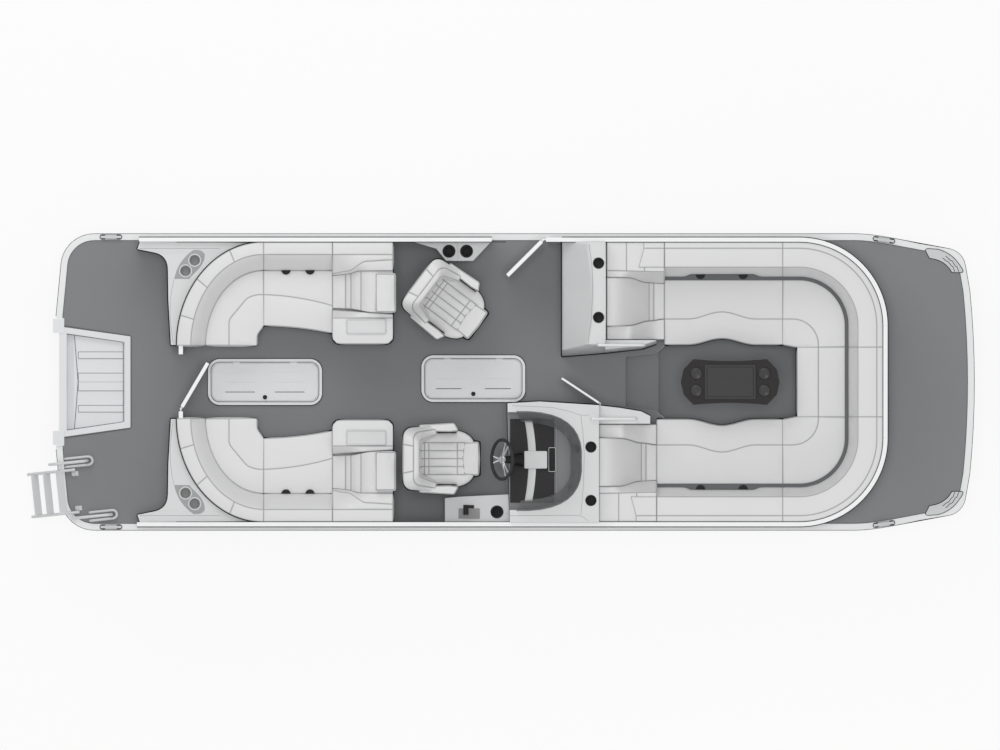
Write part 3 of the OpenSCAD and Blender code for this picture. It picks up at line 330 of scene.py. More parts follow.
def turned(profile, centre, axis=(0, 0, 1), n=32):
    """A profile (radius, height) turned about an axis through centre, closed at its ends."""
    axis = np.array(axis, float) / np.linalg.norm(axis)
    side = np.cross(axis, (1, 0, 0) if abs(axis[0]) < 0.9 else (0, 1, 0))
    side /= np.linalg.norm(side)
    other = np.cross(axis, side)
    a = np.linspace(0, 2 * math.pi, n, endpoint=False)[None, :, None]
    profile = np.asarray(profile, float)
    r, h = profile[:, 0][:, None, None], profile[:, 1][:, None, None]
    rings = np.array(centre) + r * (np.cos(a) * side + np.sin(a) * other) + h * axis
    return stacked(rings)


print("shape helpers ready")

# %% [markdown]
# ## Finishes
# Several materials share an effect: the fine grain of moulded or woven stuff, and the slow drift of
# tone that keeps a large surface from looking like paper. Each effect is a node group, built once
# with named inputs, and every material places it with its own values. Patterns read Object
# coordinates, which are metres in the boat's own frame, because every piece sits at the origin.

# %% Making and wiring nodes
def shader_node(tree, kind, values=None, **settings):
    """A new node of a tree, with its settings and the constants on its own sockets."""
    made = tree.nodes.new("ShaderNode" + kind)
    for key, value in settings.items():
        setattr(made, key, value)
    for key, value in (values or {}).items():
        made.inputs[key].default_value = value
    return made


def wire(tree, *wires):
    """Links the sockets of each (node, output, node, input)."""
    for start, output, end, entry in wires:
        tree.links.new(start.outputs[output], end.inputs[entry])


def new_group(name, inputs, outputs):
    """An empty shader group with those sockets: {name: (kind, default)} in, {name: kind} out."""
    group = bpy.data.node_groups.new(name, "ShaderNodeTree")
    for key, (kind, default) in inputs.items():
        socket = group.interface.new_socket(name=key, in_out="INPUT", socket_type="NodeSocket" + kind)
        if default is not None:
            socket.default_value = default
    for key, kind in outputs.items():
        group.interface.new_socket(name=key, in_out="OUTPUT", socket_type="NodeSocket" + kind)
    return group, group.nodes.new("NodeGroupInput"), group.nodes.new("NodeGroupOutput")


# %% Node groups: grain and drift
def grain_group():
    """Height = fine noise at Scale mixed with round cells at Scale, by Pebble: leather or moulding grain."""
    group, inside, out = new_group("grain", {"Vector": ("Vector", None), "Scale": ("Float", 400.0),
                                             "Pebble": ("Float", 0.5)}, {"Height": "Float"})
    fine = shader_node(group, "TexNoise", {"Detail": 3})
    cells = shader_node(group, "TexVoronoi")
    mix = shader_node(group, "Mix")
    wire(group, (inside, "Vector", fine, "Vector"), (inside, "Scale", fine, "Scale"),
         (inside, "Vector", cells, "Vector"), (inside, "Scale", cells, "Scale"), (inside, "Pebble", mix, 0),
         (fine, "Fac", mix, 2), (cells, "Distance", mix, 3), (mix, 0, out, "Height"))
    return group


def drift_group():
    """Color = Tone made lighter and darker by slow noise: Tone * (1 + Amount * (noise - 1/2))."""
    group, inside, out = new_group("drift", {"Vector": ("Vector", None), "Tone": ("Color", None),
                                             "Scale": ("Float", 1.5), "Amount": ("Float", 0.1)},
                                   {"Color": "Color", "Mask": "Float"})
    noise = shader_node(group, "TexNoise", {"Detail": 4})
    span = shader_node(group, "Math", {2: 1.0}, operation="MULTIPLY_ADD")
    less = shader_node(group, "Math", {1: 0.5}, operation="SUBTRACT")
    bright = shader_node(group, "HueSaturation")
    wire(group, (inside, "Vector", noise, "Vector"), (inside, "Scale", noise, "Scale"), (noise, "Fac", less, 0),
         (less, 0, span, 0), (inside, "Amount", span, 1), (span, 0, bright, "Value"),
         (inside, "Tone", bright, "Color"), (bright, "Color", out, "Color"), (noise, "Fac", out, "Mask"))
    return group


GRAIN, DRIFT = grain_group(), drift_group()
print("groups:", GRAIN.name, DRIFT.name)



# %% A material from the shared effects
def srgb(level):
    """Linear value of an 8-bit grey or colour."""
    levels = np.atleast_1d(np.array(level, float)) / 255
    linear = np.where(levels <= 0.04045, levels / 12.92, ((levels + 0.055) / 1.055) ** 2.4)
    return tuple(np.broadcast_to(linear, 3).tolist()) + (1.0,)


def finish(name, tone, rough, metal=0.0, coat=0.0, drift=(1.5, 0.06), grain=None, pebble=0.4,
           depth=0.0002, stretch=(1, 1, 1), rough_spread=0.08, shine=0.5):
    """A material: tone with slow drift, roughness that wanders, and a bumped grain of that depth."""
    mat = bpy.data.materials.new(name)
    mat.use_nodes = True
    tree = mat.node_tree
    shader = tree.nodes["Principled BSDF"]
    shader.inputs["Metallic"].default_value = metal
    shader.inputs["Specular IOR Level"].default_value = shine
    shader.inputs["Coat Weight"].default_value = coat
    shader.inputs["Coat Roughness"].default_value = 0.12
    place = shader_node(tree, "TexCoord")
    mapping = shader_node(tree, "Mapping", {"Scale": stretch})
    drifting = shader_node(tree, "Group", {"Tone": srgb(tone), "Scale": drift[0], "Amount": drift[1]},
                           node_tree=DRIFT)
    span = shader_node(tree, "MapRange", {"To Min": rough - rough_spread, "To Max": rough + rough_spread})
    wire(tree, (place, "Object", mapping, "Vector"), (mapping, "Vector", drifting, "Vector"),
         (drifting, "Color", shader, "Base Color"), (drifting, "Mask", span, "Value"),
         (span, "Result", shader, "Roughness"))
    if grain:
        pebbles = shader_node(tree, "Group", {"Scale": grain, "Pebble": pebble}, node_tree=GRAIN)
        bump = shader_node(tree, "Bump", {"Distance": depth})
        wire(tree, (mapping, "Vector", pebbles, "Vector"), (pebbles, "Height", bump, "Height"),
             (bump, "Normal", shader, "Normal"))
    return mat


def node_named(mat, kind):
    """The first node of that kind in a material."""
    return next(n for n in mat.node_tree.nodes if n.bl_idname == "ShaderNode" + kind)


# %% [markdown]
# ### The boat's materials
# Aluminium tubes keep faint mill streaks along their length, so the noise is squeezed in X. Vinyl is
# soft and slightly sheened with a fine pebble. The floor is woven vinyl: two crossed waves make its
# weave, and a speckle keeps it from looking printed.

# %% Plain finishes
tube_metal = finish("mill aluminium", (200, 201, 203), 0.36, metal=0.85, drift=(3, 0.12), grain=90,
                    pebble=0.0, depth=0.0006, stretch=(0.06, 1, 1))
frame_metal = finish("frame aluminium", (186, 189, 192), 0.45, metal=0.8, drift=(6, 0.12), grain=120,
                     depth=0.0004, stretch=(0.3, 1, 1))
rail_metal = finish("anodised rail", (234, 235, 236), 0.4, metal=0.1, drift=(2, 0.04), grain=300, depth=0.0001)
well_metal = finish("painted well", (222, 224, 226), 0.45, drift=(3, 0.05), grain=500, depth=0.0001, coat=0.2)
fence_white = finish("white powder coat", (240, 241, 242), 0.42, drift=(2, 0.03), grain=700, depth=0.0001)
stainless = finish("polished stainless", (214, 216, 218), 0.16, metal=1.0, drift=(8, 0.08), grain=200,
                   depth=0.0001, stretch=(0.2, 1, 1), rough_spread=0.05)
gel_coat = finish("pale gel coat", (214, 215, 216), 0.3, coat=0.5, drift=(1.2, 0.05), grain=900, depth=0.00005)
hatch_coat = finish("hatch gel coat", (226, 227, 229), 0.38, coat=0.3, drift=(2, 0.05), grain=500, depth=0.0002)
graphite = finish("graphite moulding", (99, 101, 103), 0.5, drift=(2, 0.08), grain=600, depth=0.00015)
soft_black = finish("soft black", (46, 45, 47), 0.55, drift=(3, 0.12), grain=800, depth=0.0002)
deep_black = finish("black plastic", (26, 26, 27), 0.4, drift=(4, 0.15), grain=700, depth=0.0001)
table_black = finish("table charcoal", (50, 48, 48), 0.42, drift=(3, 0.12), grain=450, depth=0.0002, coat=0.2,
                     shine=0.15)
table_panel = finish("table panel", (66, 66, 67), 0.3, drift=(2, 0.1), grain=900, depth=0.00005, coat=0.3,
                     shine=0.15)
chrome = finish("chrome", (235, 236, 238), 0.08, metal=1.0, drift=(4, 0.03), rough_spread=0.03)
rubber = finish("black rubber", (30, 30, 31), 0.7, drift=(4, 0.1), grain=500, depth=0.0002)
cup_grey = finish("cup grey", (150, 150, 151), 0.45, drift=(6, 0.12), grain=700, depth=0.0001)
inlay_grey = finish("inlay grey", (158, 160, 162), 0.4, drift=(4, 0.06), grain=800, depth=0.0001)
rim_white = finish("rim white", (232, 233, 234), 0.35, coat=0.3, drift=(3, 0.04), grain=700, depth=0.0001)
cast_metal = finish("cast aluminium", (216, 218, 220), 0.4, metal=0.35, drift=(9, 0.08), grain=260, depth=0.0003)
rung_metal = finish("satin ladder tube", (216, 217, 219), 0.5, metal=0.3, drift=(9, 0.06), grain=260, depth=0.0002)
# painted light: liner grey is the graphite of the helm bay made lighter to offset the shade of its recess under the
# screen; the brow pad uses it too
liner_grey = finish("liner grey", (128, 129, 131), 0.5, drift=(2, 0.08), grain=600, depth=0.00015)
print(len(bpy.data.materials), "plain finishes")


# %% [markdown]
# ### Vinyl
# Marine vinyl is a pebbled, faintly sheened skin. The shade in the fold of each sewn line is painted:
# each cushion carries the nearness of a seam as a number on every point, and the material mixes
# towards a darker tone by it, so the painted shade sits exactly where the shape folds.

# %% Vinyl, with painted shade in its seams
def vinyl(name, tone, seam_shade_tone):
    """Color = tone mixed to seam_shade_tone, a painted shade, by the piece's own seam value, on a pebbled and sheened
    skin.
    """
    mat = finish(name, tone, 0.46, drift=(1.1, 0.07), grain=520, pebble=0.7, depth=0.00035, coat=0.08)
    tree = mat.node_tree
    shader, drifting = tree.nodes["Principled BSDF"], node_named(mat, "Group")
    shader.inputs["Sheen Weight"].default_value = 0.12
    # the seam attribute is the mask of the painted shade in the seam folds
    sewn = shader_node(tree, "Attribute", attribute_name="seam")
    mix = shader_node(tree, "Mix", {"B": srgb(seam_shade_tone)}, data_type="RGBA")
    wire(tree, (sewn, "Fac", mix, "Factor"), (drifting, "Color", mix, "A"), (mix, "Result", shader, "Base Color"))
    return mat


# painted shade: the second grey is the shade of the seam folds, mixed in by the seam value
vinyl_light = vinyl("light vinyl", (220, 220, 221), (122, 122, 124))
print("vinyl:", vinyl_light.name)


# %% The woven floor and the smoked screen
def woven_floor():
    """Height = wave along X * wave along Y + grain: threads; a speckle mixes darker and lighter yarn."""
    mat = finish("woven floor", (128, 130, 132), 0.82, drift=(1.3, 0.06), grain=330, pebble=0.2, depth=0.0006)
    tree = mat.node_tree
    shader, bump = tree.nodes["Principled BSDF"], node_named(mat, "Bump")
    mapping, drifting = node_named(mat, "Mapping"), node_named(mat, "Group")
    pebbles = bump.inputs["Height"].links[0].from_node
    along, across = (shader_node(tree, "TexWave", {"Scale": 40}, bands_direction=way) for way in "XY")
    cross = shader_node(tree, "Math", operation="MULTIPLY")
    add = shader_node(tree, "Math", operation="ADD")
    speck = shader_node(tree, "TexNoise", {"Scale": 260})
    mix = shader_node(tree, "Mix", {"Factor": 0.16}, data_type="RGBA", blend_type="OVERLAY")
    wire(tree, (mapping, "Vector", along, "Vector"), (mapping, "Vector", across, "Vector"),
         (along, "Fac", cross, 0), (across, "Fac", cross, 1), (cross, 0, add, 0), (pebbles, "Height", add, 1),
         (add, 0, bump, "Height"), (mapping, "Vector", speck, "Vector"), (drifting, "Color", mix, "A"),
         (speck, "Fac", mix, "B"), (mix, "Result", shader, "Base Color"))
    return mat


def smoked_acrylic():
    """Grey acrylic, seen through by 1 - Alpha."""
    mat = finish("smoked acrylic", (84, 85, 87), 0.12, drift=(2, 0.05), rough_spread=0.03)
    shader = mat.node_tree.nodes["Principled BSDF"]
    shader.inputs["Alpha"].default_value = 0.42
    shader.inputs["IOR"].default_value = 1.49
    return mat


floor_weave, acrylic = woven_floor(), smoked_acrylic()
print("floor and screen materials ready")


# %% [markdown]
# ### A ground that reads as plain paper
# The ground is pale and catches the boat's shadow. To the camera it glows a little as well, and to
# mirrors too, so metal reflects the same pale ground that the eye sees.

# %% Ground
def paper():
    """Matt pale ground, mixed with a white glow by 0.86 where a camera or glossy ray meets it."""
    mat = bpy.data.materials.new("pale ground")
    mat.use_nodes = True
    tree = mat.node_tree
    shader, out = tree.nodes["Principled BSDF"], tree.nodes["Material Output"]
    shader.inputs["Base Color"].default_value = (0.8, 0.8, 0.8, 1)
    shader.inputs["Roughness"].default_value = 0.9
    glow = shader_node(tree, "Emission", {"Strength": 1.0})
    path = shader_node(tree, "LightPath")
    seen = shader_node(tree, "Math", operation="MAXIMUM")
    part = shader_node(tree, "Math", {1: 0.86}, operation="MULTIPLY")
    mix = shader_node(tree, "MixShader")
    wire(tree, (path, "Is Camera Ray", seen, 0), (path, "Is Glossy Ray", seen, 1), (seen, 0, part, 0),
         (part, 0, mix, "Fac"), (shader, "BSDF", mix, 1), (glow, "Emission", mix, 2), (mix, "Shader", out, "Surface"))
    return mat


half_ground = 30
ground = add_piece("ground", np.array([[-1, -1, 0], [1, -1, 0], [1, 1, 0], [-1, 1, 0]]) * half_ground, [[0, 1, 2, 3]])
ground.data.materials.append(paper())
print("ground laid")

# %% [markdown]
# ## Upholstery
# Each seat on the boat is foam under vinyl, sewn from panels. Its seams are the lines where panels
# meet, so a seat is described by its seams: a ring of *rails* that run along it, each a curve in
# space. Between two rails lies a panel that domes outwards; where a cross seam crosses it the dome
# sinks back. Rows of points crowd together beside the seams, so the creases stay sharp. The panels
# are then blown up a little as cloth that is held at its seams, which gives the vinyl its pull and
# its small uneven swells.

# %% Rails and stations
def sample(line, where):
    """Points of a line at fractional indices, by linear interpolation of each coordinate."""
    index = np.arange(len(line))
    return np.stack([np.interp(where, index, line[:, k]) for k in range(line.shape[1])], axis=1)


def resample(line, n):
    """n + 1 points evenly spaced along a line."""
    line = np.asarray(line, float)
    length = np.concatenate([[0], np.cumsum(np.linalg.norm(np.diff(line, axis=0), axis=1))])
    return sample(line, np.interp(np.linspace(0, length[-1], n + 1), length, np.arange(len(line))))


rail_steps = 60


def rail(*sections, n=rail_steps):
    """One rail from sections that meet end to end; every section gets n steps, so rails correspond."""
    parts = [resample(s, n) for s in sections]
    return np.concatenate([p[:-1] for p in parts[:-1]] + [parts[-1]])


def spread(width, step, near=(0.0, 4 * mm, 11 * mm)):
    """Shares of a width, from 0 up to but not at 1: close together at both ends, step apart between."""
    near = np.array(near)
    if width < 2.6 * near[-1]:
        return np.array([0, 0.25, 0.5, 0.75])
    count = max(2, int(round((width - 2 * near[-1]) / step)))
    middle = np.linspace(near[-1], width - near[-1], count + 1)
    return np.concatenate([near[:-1], middle, width - near[-2:0:-1]]) / width


def unit(v):
    """Each row divided by its length."""
    return v / (np.linalg.norm(v, axis=-1, keepdims=True) + 1e-12)


# %% A sewn, stuffed body
def quilt(rails, puffs, stops, crossed=(), step=24 * mm, ends=(10 * mm, 10 * mm)):
    """Points, faces and seam distance of a closed body between a ring of rails.

    Panel k runs from rail k to rail k+1 and rises by puffs[k] * (1 - |2t - 1|^3) across its width.
    stops are the fractional indices of the cross seams, the two ends among them; crossed says, for
    panel k, which of them cut it (all, if it isn't there). A cut panel's rise falls off as
    1 - exp(-(d / 30 mm)^2) with the distance d along it. The ends are closed by discs of rings that
    shrink to the middle and dome outwards by ends.
    """
    crossed = dict(crossed)
    middle = np.mean(rails, axis=0)
    length = np.concatenate([[0], np.cumsum(np.linalg.norm(np.diff(middle, axis=0), axis=1))])
    marks = np.interp(stops, np.arange(len(middle)), length)
    along = np.concatenate([a + (b - a) * spread(b - a, step) for a, b in zip(marks, marks[1:])] + [marks[-1:]])
    where = np.interp(along, length, np.arange(len(middle)))
    lines = [sample(r, where) for r in rails]
    heart = np.mean(lines, axis=0)
    rows, seams = [], []
    for k, (a, b) in enumerate(zip(lines, lines[1:] + lines[:1])):
        across = np.linalg.norm(b - a, axis=1)
        t = spread(across.mean(), step)[:, None]
        out = unit(np.cross(np.gradient(a + b, axis=0), b - a))
        out *= np.where(np.einsum("ij,ij->i", out, (a + b) / 2 - heart) < 0, -1, 1)[:, None]
        cuts = [0, len(marks) - 1] + list(crossed.get(k, range(len(marks))))
        cut = np.min(np.abs(along[None] - marks[cuts][:, None]), axis=0)
        rise = puffs[k] * (1 - np.abs(2 * t - 1) ** 3) * (1 - np.exp(-(cut / (30 * mm)) ** 2))
        rows.append(a + (b - a) * t[..., None] + out * rise[..., None])
        seams.append(np.minimum(np.minimum(t, 1 - t) * across, cut))
    body, seam = np.concatenate(rows), np.concatenate(seams)
    points, distance = [body.reshape(-1, 3)], [seam.ravel()]
    rows_n, cols_n = body.shape[:2]
    faces = grid_faces(rows_n, cols_n, close_rows=True).tolist()
    start = rows_n * cols_n
    for column, bulge, inner in ((0, ends[0], 1), (cols_n - 1, ends[1], cols_n - 2)):
        ring, centre = body[:, column], body[:, column].mean(0)
        out = unit((heart[column] - heart[inner])[None])[0]
        radius = np.linalg.norm(ring - centre, axis=1).mean()
        t = spread(2 * radius, step)
        t = t[(t > 0) & (t < 0.47)] * 2
        last = np.arange(rows_n) * cols_n + column
        for share in t:
            points.append(ring + (centre - ring) * share + out * bulge * (1 - (1 - share) ** 3))
            distance.append(np.full(rows_n, share * radius))
            here = np.arange(rows_n) + start
            faces += np.stack([last, np.roll(last, -1), np.roll(here, -1), here], axis=1).tolist()
            last, start = here, start + rows_n
        points.append((centre + out * bulge)[None])
        distance.append(np.full(1, radius))
        faces += np.stack([last, np.roll(last, -1), np.full(rows_n, start)], axis=1).tolist()
        start += 1
    return np.concatenate(points), faces, np.concatenate(distance)


def upright(name, points, faces, seam):
    """A closed quilt as a piece; its seam value, exp(-(distance / 3.5 mm)^2), masks the painted seam shade."""
    obj = add_piece(name, points, faces, 180, {"seam": np.exp(-(seam / (3.5 * mm)) ** 2), "reach": seam})
    work = bmesh.new()
    work.from_mesh(obj.data)
    faced_out(work)
    work.to_mesh(obj.data)
    work.free()
    return obj


# %% Blowing a piece up as cloth
def coordinates(mesh):
    """The mesh's points as rows of three."""
    flat = np.empty(len(mesh.vertices) * 3, np.float32)
    mesh.vertices.foreach_get("co", flat)
    return flat.reshape(-1, 3)


sewn_width, resting_height = 5 * mm, 15 * mm


def stuffed(obj, pressure=2.0, limit=9 * mm, steps=12):
    """Cloth under pressure, held at its seams and its lowest part; no point moves further than limit."""
    before = coordinates(obj.data)
    reach = np.empty(len(before), np.float32)
    obj.data.attributes["reach"].data.foreach_get("value", reach)
    held = (reach < sewn_width) | (before[:, 2] < before[:, 2].min() + resting_height)
    group = obj.vertex_groups.new(name="sewn")
    group.add(np.nonzero(held)[0].tolist(), 1.0, "REPLACE")
    cloth = obj.modifiers.new("stuffing", "CLOTH")
    cloth.settings.vertex_group_mass = "sewn"
    cloth.settings.quality = 4
    cloth.settings.mass = 0.5
    cloth.settings.tension_stiffness = cloth.settings.compression_stiffness = 25
    cloth.settings.shear_stiffness = 12
    cloth.settings.bending_stiffness = 4
    cloth.settings.use_pressure = True
    cloth.settings.uniform_pressure_force = pressure
    cloth.settings.effector_weights.gravity = 0
    cloth.point_cache.frame_end = steps
    for frame_no in range(1, steps + 1):
        scene.frame_set(frame_no)
    result = obj.evaluated_get(bpy.context.evaluated_depsgraph_get())
    moved = coordinates(result.data) - before
    size = np.linalg.norm(moved, axis=1, keepdims=True)
    moved *= np.minimum(1, limit / np.maximum(size, 1e-9))
    obj.modifiers.remove(cloth)
    obj.vertex_groups.remove(group)
    scene.frame_set(1)
    obj.data.vertices.foreach_set("co", (before + moved).ravel())
    obj.data.update()
    print(f"{obj.name}: cloth moved it by up to {1000 * size.max():.0f} mm, kept under {1000 * limit:.0f}")
    return obj


# %% Giving a piece its finish, its body and its twin
def fitted(obj, mat, body="boat", nodes=()):
    """Gives a piece its finish and its body, and says which solids it stands for."""
    obj.data.materials.clear()
    obj.data.materials.append(mat)
    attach(obj, body)
    if nodes:
        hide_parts(*nodes)
    return obj


def duplicate(obj, name):
    """A second object with its own copy of the mesh."""
    copy = linked(name, obj.data.copy())
    copy.data.name = name
    return copy


def twin(obj, name, shift=0.0):
    """A copy on the other side of the boat, shift further forward, its faces turned back outwards."""
    copy = duplicate(obj, name)
    points = coordinates(copy.data)
    points[:, 0] += shift
    points[:, 1] *= -1
    copy.data.vertices.foreach_set("co", points.ravel())
    copy.data.flip_normals()
    return copy


def pair(obj, mat, nodes=(), fill=None, shift=0.0):
    """Fits a port piece, blown up first if it is padded, and its starboard twin."""
    if fill:
        stuffed(obj)
    fitted(obj, mat, nodes=nodes)
    other = twin(obj, obj.name.replace("port_", "starboard_"), shift)
    fitted(other, mat, nodes=[n.replace("port_", "starboard_") for n in nodes])


print("upholstery helpers ready")

# %% [markdown]
# ### Rear lounges
# Each rear lounge is a quarter round that runs into a straight seat and ends in a lounger whose back
# rises to a pillow. Its curves are quarter ellipses about one centre. Distances are taken from the
# lounge's after end, `u`, and inboard from the fence, `v`, as an upholsterer would measure them.

# %% The lounge's own coordinates
lounge_x = low("port_lounge_back").x - 0.5 * mm
bend_u, seam_u, edge_v = 763, 1365, 907
rear_foot = rear_base + 4 * mm


def cab(u, v):
    """Plan point u forward of the lounge's after end and v inboard of the fence, both in mm."""
    return np.array([lounge_x + u * mm, cabin - v * mm])


def lounge_arc(d_u, d_v):
    """The corner's ellipse, drawn in by d_u at the after end and d_v at the side (mm)."""
    return arc(cab(bend_u, edge_v), (bend_u - d_u) * mm, (edge_v - d_v) * mm, 180, 90, 40)


def lounge_rail(corner_line, straight_line, z):
    """A level rail: round the corner, then along the straight seat."""
    return rail(at_height(resample(corner_line, rail_steps), z), at_height(resample(straight_line, rail_steps), z))


def back_line(d_u, d_v, z):
    """A rail along the backrest, d_u from its after end and d_v from the fence (mm)."""
    return lounge_rail(lounge_arc(d_u, d_v), [cab(bend_u, d_v), cab(seam_u, d_v)], z)


def smooth_step(t):
    """t * t * (3 - 2t), level at 0 and at 1."""
    return t * t * (3 - 2 * t)


def smooth_line(knots, z, place=cab, n=rail_steps):
    """A rail through knots joined by smooth steps; z is a height or a function of the first number."""
    knots = np.array(knots, float)
    u = np.linspace(knots[0, 0], knots[-1, 0], n + 1)
    k = np.clip(np.searchsorted(knots[:, 0], u, side="right") - 1, 0, len(knots) - 2)
    t = (u - knots[k, 0]) / (knots[k + 1, 0] - knots[k, 0])
    v = knots[k, 1] + (knots[k + 1, 1] - knots[k, 1]) * smooth_step(t)
    return np.column_stack([place(u, v).T, z(u) if callable(z) else np.full(len(u), z)])


print("rear lounge: bend", bend_u, "seam", seam_u, "mm from its after end")

# %% [markdown]
# #### Backrest
# The backrest is one long cushion with a flat top edge and a sloping face, sewn in wedges round
# the corner. Five rails make it: up the outside, over the top, down the face and back to the base.

# %% Backrest: a flat top edge and a sloping face
back_rails = [back_line(3, 3, rear_foot), back_line(3, 3, rear_back - 22 * mm),
              back_line(126, 112, rear_back - 10 * mm), back_line(250, 246, rear_seat + 26 * mm),
              back_line(252, 250, rear_foot)]


def corner_stop(angle):
    """Index along a rail of the corner seam that lies at this angle of the ellipse."""
    line = lounge_arc(0, 0)
    length = np.concatenate([[0], np.cumsum(np.linalg.norm(np.diff(line, axis=0), axis=1))])
    return rail_steps * np.interp(180 - angle, np.linspace(0, 90, len(length)), length) / length[-1]


back_stops = [0, *[corner_stop(angle) for angle in (163, 140, 113)], rail_steps, 2 * rail_steps]
top_only = {0: (0, 4, 5), 2: (0, 4, 5), 3: (0, 4, 5), 4: (0, 5)}
back_puffs = [0, 10 * mm, 15 * mm, 4 * mm, 0]
port_back = upright("port_lounge_backrest", *quilt(back_rails, back_puffs, back_stops, top_only))
pair(port_back, vinyl_light, ["port_lounge_back"], 0.85)
print("backrest:", len(port_back.data.vertices), "points")

# %% [markdown]
# #### Seat
# The seat cushion fills the bend and has a narrower roll along its front, whose edge turns a corner
# at the passage. Each rail is a rounded route round the bend and a parabola along the straight.

# %% Seat: a deep panel and a front bolster
corner_crease = lounge_arc(254, 252)
straight_crease = [cab(bend_u, 252), cab(seam_u, 252)]
corner_line = rounded([cab(460, 906), cab(460, 683), cab(620, 491), cab(701, 463), cab(bend_u, 463)], 30 * mm)
straight_line = bend(cab(bend_u, 463), cab(1060, 470), cab(seam_u, 559))
corner_front = rounded([cab(705, 906), cab(705, 816), cab(bend_u, 733)], 22 * mm)
straight_front = bend(cab(bend_u, 733), cab(1080, 738), cab(seam_u, 800))
corner_foot = rounded([cab(699, 906), cab(699, 812), cab(758, 727)], 22 * mm)
straight_foot = bend(cab(bend_u, 726), cab(1080, 731), cab(seam_u, 793))
seat_rails = [
    lounge_rail(corner_crease, straight_crease, rear_foot),
    lounge_rail(corner_crease, straight_crease, rear_seat - 14 * mm),
    lounge_rail(corner_line, straight_line, rear_seat - 4 * mm),
    lounge_rail(corner_front, straight_front, rear_seat - 20 * mm),
    lounge_rail(corner_foot, straight_foot, rear_foot)]
seat_puffs = [0, 12 * mm, 14 * mm, 9 * mm, 0]
port_seat = upright("port_lounge_cushion", *quilt(seat_rails, seat_puffs, [0, rail_steps, 2 * rail_steps]))
pair(port_seat, vinyl_light, ["port_lounge_seat"], 0.8)
print("seat:", len(port_seat.data.vertices), "points")

# %% [markdown]
# #### Lounger
# The seat's forward end is a lounger: the strip one lies on rises to the head end between the
# backrest, which swells into a bolster, and an inboard arm. The seams between them wave, so each is
# a line through a few knots, joined by smooth steps.

# %% Lounger heights and seams
chaise_top = rear_back - 12 * mm
arm_top = rear_seat + 190 * mm
u0, u1 = 1367, 1894


def recline(u):
    """Height of the lounger's back at u (mm): level seat, then a smooth rise to the head end."""
    rise = smooth_step(np.clip((np.asarray(u, float) - 1376) / 350, 0, 1))
    return rear_seat - 2 * mm + (rear_back - 44 * mm - rear_seat) * rise


fence_side = [(u0, 3), (u1, 3)]
top_seam = [(u0, 112), (u1, 112)]
wave_1 = [(u0, 277), (1490, 258), (1665, 170), (u1, 159)]
wave_2 = [(u0, 293), (1500, 280), (1600, 254), (u1, 253)]
lower = [(u0, 584), (1500, 588), (1720, 620), (u1, 627)]
strip_2 = [(u, v + 2) for u, v in wave_2]
strip_3 = [(u, v - 2) for u, v in lower]
face = lambda u: np.minimum(chaise_top - 4 * mm, recline(u) + 22 * mm)
crest = lambda u: np.clip(recline(u) + 95 * mm, None, chaise_top)
strip_edge = lambda u: recline(u) - 6 * mm
print("lounger from", u0, "to", u1, "mm")

# %% Lounger: one long bolster and a reclining strip
bolster_rails = [
    smooth_line(fence_side, rear_foot), smooth_line(fence_side, rear_back - 22 * mm),
    smooth_line(top_seam, rear_back - 10 * mm), smooth_line(wave_1, crest), smooth_line(wave_2, face),
    smooth_line(wave_2, rear_foot)]
port_bolster = upright("port_chaise_bolster",
                       *quilt(bolster_rails, [0, 10 * mm, 9 * mm, 6 * mm, 0, 0], [0, rail_steps]))
recline_rails = [smooth_line(strip_2, rear_foot), smooth_line(strip_2, strip_edge),
                 smooth_line(strip_3, strip_edge), smooth_line(strip_3, rear_foot)]
strip_stops = [0, *[rail_steps * (u - u0) / (u1 - u0) for u in (1480, 1527, 1615)], rail_steps]
port_recline = upright("port_chaise_recline", *quilt(recline_rails, [0, 12 * mm, 0, 0], strip_stops))
print("bolster and strip:", len(port_bolster.data.vertices) + len(port_recline.data.vertices), "points")

# %% Lounger: the arm
arm_v, arm_turn, arm_section = 893, 60, 30


def arm_edge(z):
    """The arm's inboard edge with its two round corners."""
    r, v = arm_turn * mm, arm_v - arm_turn
    return rail(at_height(arc(cab(u0 + arm_turn, v), r, -r, 180, 90, 12), z),
                at_height([cab(u0 + arm_turn, arm_v), cab(u1 - arm_turn, arm_v)], z),
                at_height(arc(cab(u1 - arm_turn, v), r, -r, 90, 0, 12), z), n=arm_section)


def arm_inner(v0, v1, z):
    """The arm's other edges run straight, in the same three stretches."""
    stretch = [u0, u0 + 24, u1 - 24, u1]
    line = [[cab(a, v0 + (v1 - v0) * (a - u0) / (u1 - u0)), cab(b, v0 + (v1 - v0) * (b - u0) / (u1 - u0))]
            for a, b in zip(stretch, stretch[1:])]
    return rail(*[at_height(resample(s, 12), z) for s in line], n=arm_section)


arm_rails = [arm_inner(600, 632, rear_foot), arm_inner(598, 634, 0), arm_inner(667, 667, arm_top - 8 * mm),
             arm_edge(arm_top - 20 * mm), arm_edge(rear_foot)]
arm_rails[1][:, 2] = np.minimum(recline((arm_rails[1][:, 0] - lounge_x) / mm) + 12 * mm, arm_top - 14 * mm)
arm_puffs = [0, 5 * mm, 9 * mm, 2 * mm, 0]
port_arm = upright("port_chaise_arm",
                   *quilt(arm_rails, arm_puffs, [0, 3 * arm_section], ends=(2 * mm, 2 * mm)))
for cushion in (port_bolster, port_recline, port_arm):
    pair(cushion, vinyl_light, ["port_chaise"], 0.85)
print("arm:", len(port_arm.data.vertices), "points")

# %% [markdown]
# ### Pads
# Head pillow, arm pads and the bolster across a seat's front are single stuffed shapes. Each one is
# its outline repeated as rings: up the side, over a round shoulder with a welt, and in towards the
# middle while the crown rises. The rings end in one closed face at the centre.

# %% Pads from an outline
crown_shares = (1, 0.97, 0.9, 0.78, 0.62, 0.44, 0.26, 0.1)
shoulder_rings = 8


